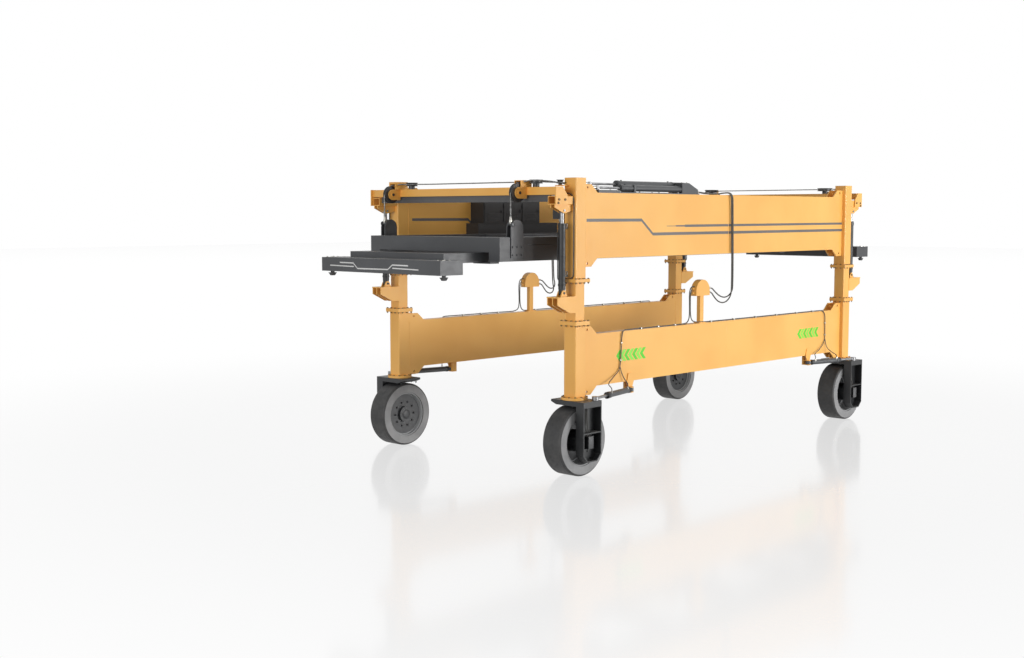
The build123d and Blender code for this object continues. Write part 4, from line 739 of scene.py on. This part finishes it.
plate_screws = repeat("end_plate_screws", screw_head(0.026, 0.012), [
    at(x_side * x, y_side * PLATE_FACE, z, (0, y_side, 0))
    for y_side in (-1, 1) for x_side in (-1, 1)
    for x, z in ((3.910, 3.717), (3.790, 3.717), (3.925, 3.672))
])
upper_screws = gather("upper_frame_screws", [lift_screws, lift_nuts, plate_screws])
fit(upper_screws, "upper_frame", bolt_shaded_yellow)

# ---- Ropes over the top ----
# Four steel wire ropes, pulled tight, from the drop sheaves round the level sheaves to the
# hoist cylinders. The front pair end in swaged sockets at the rod eyes, and the rear pair
# enter the hollow near beam through fairleads.
ROPE_WIDTH = 0.016
GROOVE = 3.958
FAR_LINE = (-1.6105, 3.942)
NEAR_LINE = (-BEAM_MIDDLE, 3.888)
top_routes = [
    [
        (-4.085, 1.262, 3.941), (-4.000, 1.235, 3.955), (-3.960, 1.050, GROOVE),
        (-3.925, 0.965, GROOVE), (-3.830, 0.900, GROOVE), (-3.785, 0.780, GROOVE),
        (-3.782, 0.400, GROOVE), (-3.782, -1.150, GROOVE), (-3.782, -1.420, GROOVE),
        (-3.762, -1.560, 3.950), (-3.720, -1.690, 3.944), (-3.640, -1.724, 3.942),
        (-3.520, -1.660, 3.942), (-3.400, -1.630, 3.942), (-3.240, *FAR_LINE), (-3.080, *FAR_LINE),
    ],
    [
        (-4.085, -1.262, 3.941), (-4.010, -1.285, 3.950), (-3.972, -1.400, 3.972),
        (-3.945, -1.490, 3.972), (-3.850, -1.525, 3.970), (-3.740, -1.600, 3.960),
        (-3.660, -1.600, 3.950), (-3.560, -1.605, 3.940), (-3.400, -1.650, 3.905),
        (-3.240, -1.700, 3.888), (-3.080, *NEAR_LINE),
    ],
    [
        (4.085, 1.262, 3.941), (4.035, 1.215, 3.955), (4.003, 1.230, GROOVE),
        (3.985, 1.120, GROOVE), (3.800, 1.080, GROOVE), (3.752, 0.950, GROOVE),
        (3.746, 0.500, GROOVE), (3.746, -0.950, GROOVE), (3.746, -1.190, GROOVE),
        (3.738, -1.400, 3.930), (3.690, -1.520, 3.840), (3.600, -1.600, 3.760),
        (3.500, -1.640, 3.722), (3.490, -1.6700, 3.720),
    ],
    [
        (4.085, -1.262, 3.941), (4.040, -1.300, 3.955), (3.960, -1.325, 3.965),
        (3.870, -1.345, 3.955), (3.760, -1.420, 3.900), (3.660, -1.530, 3.760),
        (3.560, -1.610, 3.660), (3.500, -1.645, 3.622), (3.490, -1.6700, 3.620),
    ],
]
ropes = [tube("rope", route, ROPE_WIDTH) for route in top_routes]
fit(gather("top_ropes", ropes), "upper_frame", wire)


def turned(start, end, outline, sides=24):
    """A turned part between two points. The outline is pairs of (share of the length, radius)."""
    line = Vector(end) - Vector(start)
    bpy.ops.object.select_all(action="DESELECT")
    bpy.ops.mesh.primitive_circle_add(vertices=sides, radius=outline[0][1], fill_type="NGON")
    made = bpy.context.object
    bpy.ops.object.mode_set(mode="EDIT")
    bpy.ops.mesh.select_all(action="SELECT")
    for (share, radius), (next_share, next_radius) in zip(outline, outline[1:]):
        bpy.ops.mesh.extrude_region_move(
            TRANSFORM_OT_translate={"value": (0, 0, (next_share - share) * line.length)},
        )
        scale = next_radius / radius
        bpy.ops.transform.resize(value=(scale, scale, 1))
    bpy.ops.mesh.select_all(action="SELECT")
    bpy.ops.mesh.normals_make_consistent(inside=False)
    bpy.ops.object.mode_set(mode="OBJECT")
    made.data.transform(at(*start, line))
    return made


# Sockets, fairleads, hose ends and clips are dull plated steel with a light crystal mottle.
zinc = Finish("plated steel", Metallic=1.0)
crystals = zinc.noise(45.0, 4.0).ramp(0.35, 0.7)
zinc.feed(
    Base_Color=zinc.mix(crystals, (0.34, 0.33, 0.30), (0.56, 0.55, 0.52)),
    Roughness=zinc.noise(70.0, 3.0).ramp(0.3, 0.8, 0.28, 0.48),
)
zinc.bump(zinc.noise(150.0, 3.0), 0.08, 0.001)
plated = zinc.data
SOCKET = [(0, 0.010), (0.04, 0.013), (0.35, 0.014), (0.55, 0.021), (0.92, 0.021), (1, 0.017)]
FAIRLEAD = [(0, 0.030), (0.35, 0.030), (0.45, 0.021), (0.9, 0.019), (1, 0.015)]
sockets = [
    turned((-3.190, -1.612, 3.942), (-3.030, *FAR_LINE), SOCKET),
    turned((-3.190, -1.715, 3.888), (-3.030, *NEAR_LINE), SOCKET),
    *(turned((3.490, -1.6730, z), (3.490, -1.6560, z), FAIRLEAD) for z in (3.720, 3.620)),
]
fit(gather("rope_sockets", sockets), "upper_frame", plated)

# ---- Hoist rope falls ----
# Four rope falls from the drop sheaves to the spreader, 20 mm over the strands. They end in
# forged sockets on the yoke pins.
FALL_X, FALL_Y = 4.206, 1.270
FALL_FOOT, FALL_TOP = 3.4080, 3.8080
FALL_WIDTH = 0.020
FALL_SOCKET = [
    (0, 0.016), (0.10, 0.022), (0.45, 0.022), (0.60, 0.019), (0.92, 0.015), (1, 0.012),
]
falls, fall_sockets = [], []
for _, x_side, y_side in CORNERS:
    x, y = x_side * FALL_X, y_side * FALL_Y
    falls.append(tube("fall", [
        (x, y, FALL_FOOT + (FALL_TOP - FALL_FOOT) * step / 6) for step in range(7)
    ], FALL_WIDTH))
    fall_sockets.append(turned((x, y, 3.392), (x, y, 3.492), FALL_SOCKET))
falls = gather("hoist_rope_falls", falls)
dress(falls, wire)
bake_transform(falls)
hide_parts("hoist_ropes")
fit(gather("fall_sockets", fall_sockets), "spreader", plated)


# ---- Hoist cylinder fittings ----
# Gland nuts on the rod ends, and port blocks with union nuts on top. The glands are turned
# steel in the barrels' own grey. Bands and end block are held down by plated bolts.
def gland(start, end, radius):
    """A grooved gland nut between two points."""
    return turned(start, end, [(share, part * radius) for share, part in (
        (0, 0.90), (0.08, 1.0), (0.42, 1.0), (0.46, 0.94), (0.54, 0.94), (0.58, 1.0),
        (0.94, 1.0), (1, 0.95),
    )], 28)


HOIST_PORT = [
    (0, 0.017), (0.30, 0.017), (0.32, 0.013), (0.60, 0.013), (0.62, 0.015), (1, 0.014),
]
PORT_LIMIT = 4.004
hoist_metal = []
for (y, z), radius, front, back in (
    (NEAR_LINE, 0.045, -2.520, -1.160), (FAR_LINE, 0.050, -2.440, -1.160),
):
    hoist_metal.append(gland((front - 0.004, y, z), (front + 0.052, y, z), radius + 0.005))
    hoist_metal.append(gland((back - 0.030, y, z), (back + 0.010, y, z), radius + 0.004))
    top = min(z + radius + 0.016, PORT_LIMIT)
    for x in (front + 0.115, back - 0.085):
        hoist_metal.append(turned((x, y, z + radius - 0.006), (x, y, top), HOIST_PORT, 6))
fit(gather("hoist_cylinder_fittings", hoist_metal), "upper_frame", cylinder_grey)
band_bolts = repeat("band_bolts", screw_head(0.020, 0.010), [
    at(x, y, 3.856 if x < -2.55 else 3.830)
    for x in (-3.030, -2.640, -2.150, -1.700, -1.250) for y in (-1.806, -1.678)
])
block_bolts = repeat("block_bolts", screw_head(0.022, 0.010), [
    at(x, y, 3.980) for x in (-1.115, -1.000) for y in (-1.770, -1.590)
])
fit(gather("hoist_base_bolts", [band_bolts, block_bolts]), "upper_frame", plated)

# ---- Leg cylinder fittings ----
# A gland nut on top of each long barrel, a clamp round its middle and two pipe elbows on
# the inward side, one at each end, joined by a steel pipe that runs down the barrel.
LEG_BARREL_X = 3.755
leg_metal = []
for _, x_side, y_side in CORNERS:
    x, y = x_side * LEG_BARREL_X, y_side * COLUMN_Y
    for foot, top, radius in (
        (3.378, 3.404, 0.050), (2.575, 2.605, 0.0535), (2.950, 2.974, 0.0530),
    ):
        leg_metal.append(gland((x, y, foot), (x, y, top), radius))
    leg_metal.append(tube("pipe", [(x, y - y_side * inward, z) for inward, z in (
        (0.044, 3.300), (0.072, 3.300), (0.076, 3.270), (0.076, 2.700), (0.072, 2.660),
        (0.044, 2.660),
    )], 0.014))
    for z in (3.300, 2.660):
        leg_metal.append(turned((x, y - y_side * 0.040, z), (x, y - y_side * 0.066, z), [
            (0, 0.015), (0.5, 0.015), (0.52, 0.012), (1, 0.012),
        ], 6))
fit(gather("leg_cylinder_fittings", leg_metal), "chassis", barrel_black)


# ---- Steering cylinder fittings ----
# Rounded gland caps at the rod ends and hose unions on the outboard side of each barrel.
# The caps are moulded black, the unions plated.
def on_side(route, y_side, x_side=1):
    """A route drawn for the far rear quarter of the machine, moved to another side or end."""
    return [(x * x_side, y * y_side, z) for x, y, z in route]


STEERING_PIN, STEERING_EYE = (2.360, 1.8385, 1.066), (3.410, 2.0785, 1.066)
STEERING_UNION = [
    (0, 0.015), (0.40, 0.015), (0.42, 0.011), (0.62, 0.011), (0.64, 0.014), (1, 0.013),
]
steering_ports = {}
for corner, x_side, y_side in CORNERS:
    pin, eye = map(Vector, on_side([STEERING_PIN, STEERING_EYE], y_side, x_side))
    run = (eye - pin).normalized()
    side = Vector(UP).cross(run)
    if side.y * y_side < 0:
        side = -side
    cap = gland(pin + run * 0.690, pin + run * 0.742, 0.047)
    butt = gland(pin + run * 0.055, pin + run * 0.090, 0.0445)
    barrel = corner + "_steering_barrel"
    fit(gather(corner + "_steering_glands", [cap, butt]), barrel, fork_black)
    feet = [pin + run * share + side * 0.030 + Vector((0, 0, 0.022)) for share in (0.140, 0.640)]
    steering_ports[corner] = [foot + Vector((0, 0, 0.036)) for foot in feet]
    unions = [
        turned(foot, tip, STEERING_UNION, 6) for foot, tip in zip(feet, steering_ports[corner])
    ]
    fit(gather(corner + "_steering_unions", unions), barrel, plated)

# ---- Held hoses on the side frames ----
# Rubber hoses, 16 mm, clipped along the lower beams from the guide to each wheel. Each splits
# at the end to the two ports of the steering barrel.
HELD_WIDTH = 0.016
HOSE_BED = 1.914
HOSE_FACE = 1.834
FLANK = 1.840
risers = [
    [
        (-0.745, BEAM_MIDDLE, 2.452), (-0.790, BEAM_MIDDLE, 2.456), (-0.846, BEAM_MIDDLE, 2.425),
        (-0.868, BEAM_MIDDLE, 2.340), (-0.862, BEAM_MIDDLE, 2.200), (-0.858, BEAM_MIDDLE, 2.030),
        (-0.880, BEAM_MIDDLE, 1.950), (-0.960, 1.7685, 1.916), (-1.080, 1.7935, HOSE_BED),
        (-1.300, 1.812, HOSE_BED), (-1.600, 1.814, HOSE_BED), (-2.200, 1.814, HOSE_BED),
        (-2.420, 1.816, HOSE_BED), (-2.520, HOSE_FACE, 1.912), (-2.562, 1.844, 1.860),
        (-2.566, FLANK, 1.780), (-2.572, FLANK, 1.709), (-2.581, FLANK, 1.527),
        (-2.598, FLANK, 1.420),
    ],
    [
        (-0.745, BEAM_MIDDLE, 2.410), (-0.800, BEAM_MIDDLE, 2.412), (-0.836, BEAM_MIDDLE, 2.370),
        (-0.842, BEAM_MIDDLE, 2.250), (-0.838, BEAM_MIDDLE, 2.030), (-0.800, BEAM_MIDDLE, 1.940),
        (-0.720, 1.7685, 1.916), (-0.600, 1.7935, HOSE_BED), (-0.300, 1.814, HOSE_BED),
        (1.200, 1.814, HOSE_BED), (2.500, 1.814, HOSE_BED), (2.680, 1.816, HOSE_BED),
        (2.790, HOSE_FACE, 1.912), (2.850, 1.844, 1.850), (2.862, FLANK, 1.747),
        (2.868, FLANK, 1.560), (2.871, FLANK, 1.441),
    ],
]
for side, y_side in SIDES:
    held = [tube("riser", on_side(route, y_side), HELD_WIDTH) for route in risers]
    fit(gather(side + "_beam_hoses", held), "chassis", hose_cover)
    face = HOSE_FACE * y_side
    for end, fork_x, fork_z in (("front", -2.598, 1.420), ("rear", 2.871, 1.441)):
        corner = end + "_" + side
        for number, port in enumerate(steering_ports[corner], 1):
            toward = 1 if port.x > fork_x else -1
            branch = tube(corner + "_branch_hose_" + str(number), [
                (fork_x, FLANK * y_side, fork_z),
                (fork_x + 0.012 * toward, 1.842 * y_side, fork_z - 0.060),
                (fork_x + (port.x - fork_x) * 0.45, 1.854 * y_side, 1.270),
                (port.x - 0.010 * toward, (face + port.y) / 2, 1.200),
                (port.x, port.y, 1.160), tuple(port),
            ], 0.013)
            dress(branch, hose_cover)
            corner + "_steering_barrel"
            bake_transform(branch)

# The clips are folded plated strips, over the hoses on the top edge of the beam
# and down its face.
clips = []
for _, y_side in SIDES:
    for x in (-2.10, -1.70, -1.30, -0.40, 0.20, 0.80, 1.40, 2.00, 2.50):
        clips.append(block(
            (x - 0.012, 1.790 * y_side, 1.899), (x + 0.012, 1.829 * y_side, 1.9265), 0.004,
        ))
    for x, z in ((-2.569, 1.74), (-2.588, 1.50), (2.863, 1.70), (2.869, 1.50)):
        clips.append(block(
            (x - 0.014, 1.8225 * y_side, z - 0.010), (x + 0.014, 1.852 * y_side, z + 0.010), 0.004,
        ))
fit(gather("hose_clips", clips), "chassis", plated)

# ---- Hoses on the legs ----
# A 16 mm hose leaves each crossbeam end, bends over and hangs down the outward face of the
# lifting leg to its lower collar. Two pale banjo fittings stand where it meets the leg.
LEG_HOSE = [
    (3.640, 1.700, 3.806), (3.607, 1.723, 3.806), (3.607, 1.776, 3.802), (3.607, 1.829, 3.775),
    (3.607, 1.856, 3.712), (3.607, 1.856, 3.500), (3.607, 1.855, 2.900), (3.607, 1.853, 2.760),
    (3.607, 1.850, 2.700), (3.607, 1.820, 2.676), (3.600, 1.790, 2.672),
]
BANJO = [(0, 0.020), (0.25, 0.020), (0.28, 0.014), (0.60, 0.014), (0.64, 0.018), (1, 0.015)]
leg_hoses, banjos = [], []
for _, x_side, y_side in CORNERS:
    leg_hoses.append(tube("leg_hose", on_side(LEG_HOSE, y_side, x_side), HELD_WIDTH))
    for y, z in ((1.725, 3.342), (1.729, 2.705)):
        banjos.append(turned(*on_side([(3.592, y, z), (3.628, y, z)], y_side, x_side), BANJO, 12))
        banjos.append(tube("curl", on_side([
            (3.616, y, z), (3.624, y + 0.030, z + 0.012), (3.620, y + 0.034, z + 0.050),
            (3.612, y + 0.004, z + 0.064), (3.604, y - 0.012, z + 0.040),
            (3.596, y - 0.014, z + 0.020),
        ], y_side, x_side), 0.011))
fit(gather("leg_hoses", leg_hoses), "upper_frame", hose_cover)
fit(gather("leg_banjos", banjos), "upper_frame", plated)

# ---- Wheel nuts, hub motors and fork covers ----
# Each rim is held by ten nuts round its hub on the open side. Each hub motor has a ring of
# cap screws on its housing, a pale gearbox cover and two thin pipes down the fork's web.
RIM_FACE, MOTOR_FACE = 1.6775, 1.9835
ARM_UNDERSIDE = 0.968
HUB_CAP = [(0, 0.078), (0.25, 0.078), (0.30, 0.070), (0.80, 0.060), (1, 0.040)]
for corner, x_side, y_side in CORNERS:
    x = x_side * AXLE_X
    nuts = repeat(corner + "_wheel_nuts", screw_head(0.026, 0.016, 0.008), [
        at(x + a, y_side * RIM_FACE, AXLE_Z + b, (0, -y_side, 0)) for a, b in ring(0.185, 10)
    ])
    fit(nuts, corner + "_wheel", fork_black)
    hub_cap = turned((x, y_side * 1.6390, AXLE_Z), (x, y_side * 1.6255, AXLE_Z), HUB_CAP, 32)
    hub_cap.name = corner + "_hub_cap"
    fit(hub_cap, corner + "_wheel", fork_black)
    motor_screws = repeat(corner + "_motor_screws", screw_head(0.022, 0.012), [
        at(x + a, y_side * MOTOR_FACE, AXLE_Z + b, (0, y_side, 0))
        for a, b in ring(0.132, 12, 15)
        if not (0.39 < AXLE_Z + b < 0.56 and abs(a) < 0.075)
    ])
    flange_screws = repeat(corner + "_flange_screws", screw_head(0.022, 0.012, 0.006), [
        at(x + a, y_side * COLUMN_Y + b, ARM_UNDERSIDE, DOWN)
        for a, b in ((-0.150, -0.200), (0.150, -0.200), (-0.150, -0.100), (0.150, -0.100))
    ])
    fork_screws = gather(corner + "_fork_screws", [motor_screws, flange_screws])
    fit(fork_screws, corner + "_fork", fork_black)
    plate = block((x - 0.052, y_side * 2.0725, 0.394), (x + 0.052, y_side * 2.0815, 0.556), 0.003)
    plate.name = corner + "_gearbox_cover"
    for face in plate.data.polygons:
        face.select = face.normal.y * y_side > 0.9
    only(plate)
    bpy.ops.object.mode_set(mode="EDIT")
    bpy.ops.mesh.select_mode(type="FACE")
    bpy.ops.mesh.inset(thickness=0.012, depth=-0.003)
    bpy.ops.object.mode_set(mode="OBJECT")
    fit(plate, corner + "_fork", channel_grey)
    pipes = [
        tube("pipe", [(x + apart * share, y_side * y, z) for share, y, z in (
            (1, 2.025, 0.558), (1, 2.025, 0.590), (0.6, 2.000, 0.680), (0.5, 1.994, 0.780),
            (0.5, 1.994, 0.900), (0.8, 1.990, 0.966),
        )], 0.012)
        for apart in (-0.028, 0.028)
    ]
    fit(gather(corner + "_motor_pipes", pipes), corner + "_fork", hose_cover)

# ---- Equipment cabinet doors and the valve box ----
# Three sheet steel doors on lift-off hinges with a latch each and louvres pressed in low down,
# over a closed lower tier. The valve box carries a row of hose unions underneath.
DOOR_PITCH = 0.430
HINGE = [
    (0, 0.006), (0.05, 0.007), (0.48, 0.007), (0.50, 0.0055), (0.52, 0.007), (0.95, 0.007),
    (1, 0.006),
]
LATCH = [(0, 0.020), (0.3, 0.020), (0.4, 0.016), (0.8, 0.016), (1, 0.012)]
trim, latches = [], []
for number in range(3):
    left = -2.040 + DOOR_PITCH * number
    for step in range(5):
        z = 3.425 + 0.026 * step
        trim.append(block((left + 0.070, 1.3715, z), (left + 0.330, 1.3780, z + 0.012), 0.0025))
    for z in (3.440, 3.660):
        hinge_x = left + 0.008
        trim.append(turned((hinge_x, 1.3735, z - 0.028), (hinge_x, 1.3735, z + 0.028), HINGE, 12))
    x = -1.660 + DOOR_PITCH * number
    latches.append(turned((x, 1.378, 3.575), (x, 1.366, 3.575), LATCH, 20))
    latches.append(block((x - 0.005, 1.356, 3.545), (x + 0.005, 1.368, 3.605), 0.003))
# The louvres carry the cabinet's near-black painted shade.
fit(gather("cabinet_louvres", trim), "upper_frame", shade_darkened_charcoal)
fit(gather("cabinet_latches", latches), "upper_frame", fork_black)

VALVE_UNION = [(0, 0.014), (0.45, 0.014), (0.47, 0.011), (0.70, 0.011), (0.72, 0.013), (1, 0.011)]
unions, tails = [], []
for step in range(4):
    x = -3.555 + 0.043 * step
    drop = 0.012 * step
    level = 3.340 - 0.022 * step
    unions.append(turned((x, -1.560, 3.462), (x, -1.560, 3.425), VALVE_UNION, 6))
    tails.append(tube("tail", [
        (x, -1.560, 3.430), (x, -1.562, 3.380), (x + 0.010, -1.590, 3.310 - drop),
        (x + 0.030, -1.630, 3.300 - drop), (-3.300, -1.656, level - 0.010),
        *((along, -1.660, level) for along in (-3.100, -2.400, -1.500, -0.900)),
        (-0.840, -1.668, level), (-0.820, -1.680, level),
    ], 0.014))
fit(gather("valve_unions", unions), "upper_frame", plated)
fit(gather("valve_hoses", tails), "upper_frame", hose_cover)

# ---- Spreader fittings ----
# Steel bolts through the girders' stiffeners, turned caps over the yoke pins and the screws of
# the twistlock housings. Beside each telescope a thin near-black strip on the girder face is
# painted shade, standing for the shade in a slot cut along the girder.
YOKE_FACE, GIRDER_FACE = 1.3150, 1.3000
studs = [
    at(x_side * 4.126 + a, y_side * YOKE_FACE, z, (0, y_side, 0))
    for _, x_side, y_side in CORNERS for a in (-0.085, 0.0, 0.085) for z in (2.985, 3.090)
] + [
    at(x + a, y_side * GIRDER_FACE, z, (0, y_side, 0))
    for x in (-2.2225, 0.0, 2.2225) for y_side in (-1, 1)
    for a in (-0.045, 0.045) for z in (3.060, 3.180)
]
studs = repeat("spreader_studs", screw_head(0.024, 0.012), studs)
fit(studs, "spreader", spreader_grey)
pin_caps = [
    turned(*on_side([(FALL_X, YOKE_FACE, 3.390), (FALL_X, 1.3270, 3.390)], y_side, x_side), [
        (0, 0.034), (0.5, 0.034), (0.7, 0.030), (1, 0.022),
    ], 28)
    for _, x_side, y_side in CORNERS
]
fit(gather("yoke_pin_caps", pin_caps), "spreader", cylinder_grey)
for end, x_side in ENDS:
    housings = repeat(end + "_twistlock_screws", screw_head(0.020, 0.010), [
        at(x_side * 5.290 + a, y_side * 1.1295 + b, 2.934)
        for y_side in (-1, 1) for a in (-0.055, 0.055) for b in (-0.045, 0.045)
    ])
    fit(housings, end + "_spreader_end", plated)
# Painted shade: near-black strips standing proud of the girder faces, for the shade in the slots.
slot_shade_strips = [
    block((x, y_side * 1.2990, 3.105), (x + 0.60, y_side * 1.3012, 3.122), 0.0008)
    for y_side in (-1, 1) for x in (-3.90, 3.30)
]
fit(gather("girder_slot_shade", slot_shade_strips), "spreader", shade_darkened_charcoal)

# ---- Guide glands ----
# Crimped ferrules of plated steel where every free hose enters a guide or leaves the top
# of a beam. Each has a collar and a groove at its foot, and tapers down onto the rubber.
FERRULE = [
    (0, 0.0165), (0.14, 0.0165), (0.16, 0.0145), (0.24, 0.0145), (0.26, 0.0160),
    (0.90, 0.0160), (1, 0.0125),
]
guide_places = [(-0.380, y_side * BEAM_MIDDLE, z) for _, y_side in SIDES for z in (2.352, 2.418)]
beam_places = [route[0] for route in hose_routes.values()]
for name, body, reach, places in (
    ("guide_ferrules", "chassis", 0.040, guide_places),
    ("beam_ferrules", "upper_frame", 0.038, beam_places),
):
    ferrules = [
        turned((x - 0.004, y, z), (x + reach, y, z), FERRULE, 20) for x, y, z in places
    ]
    fit(gather(name, ferrules), body, plated)
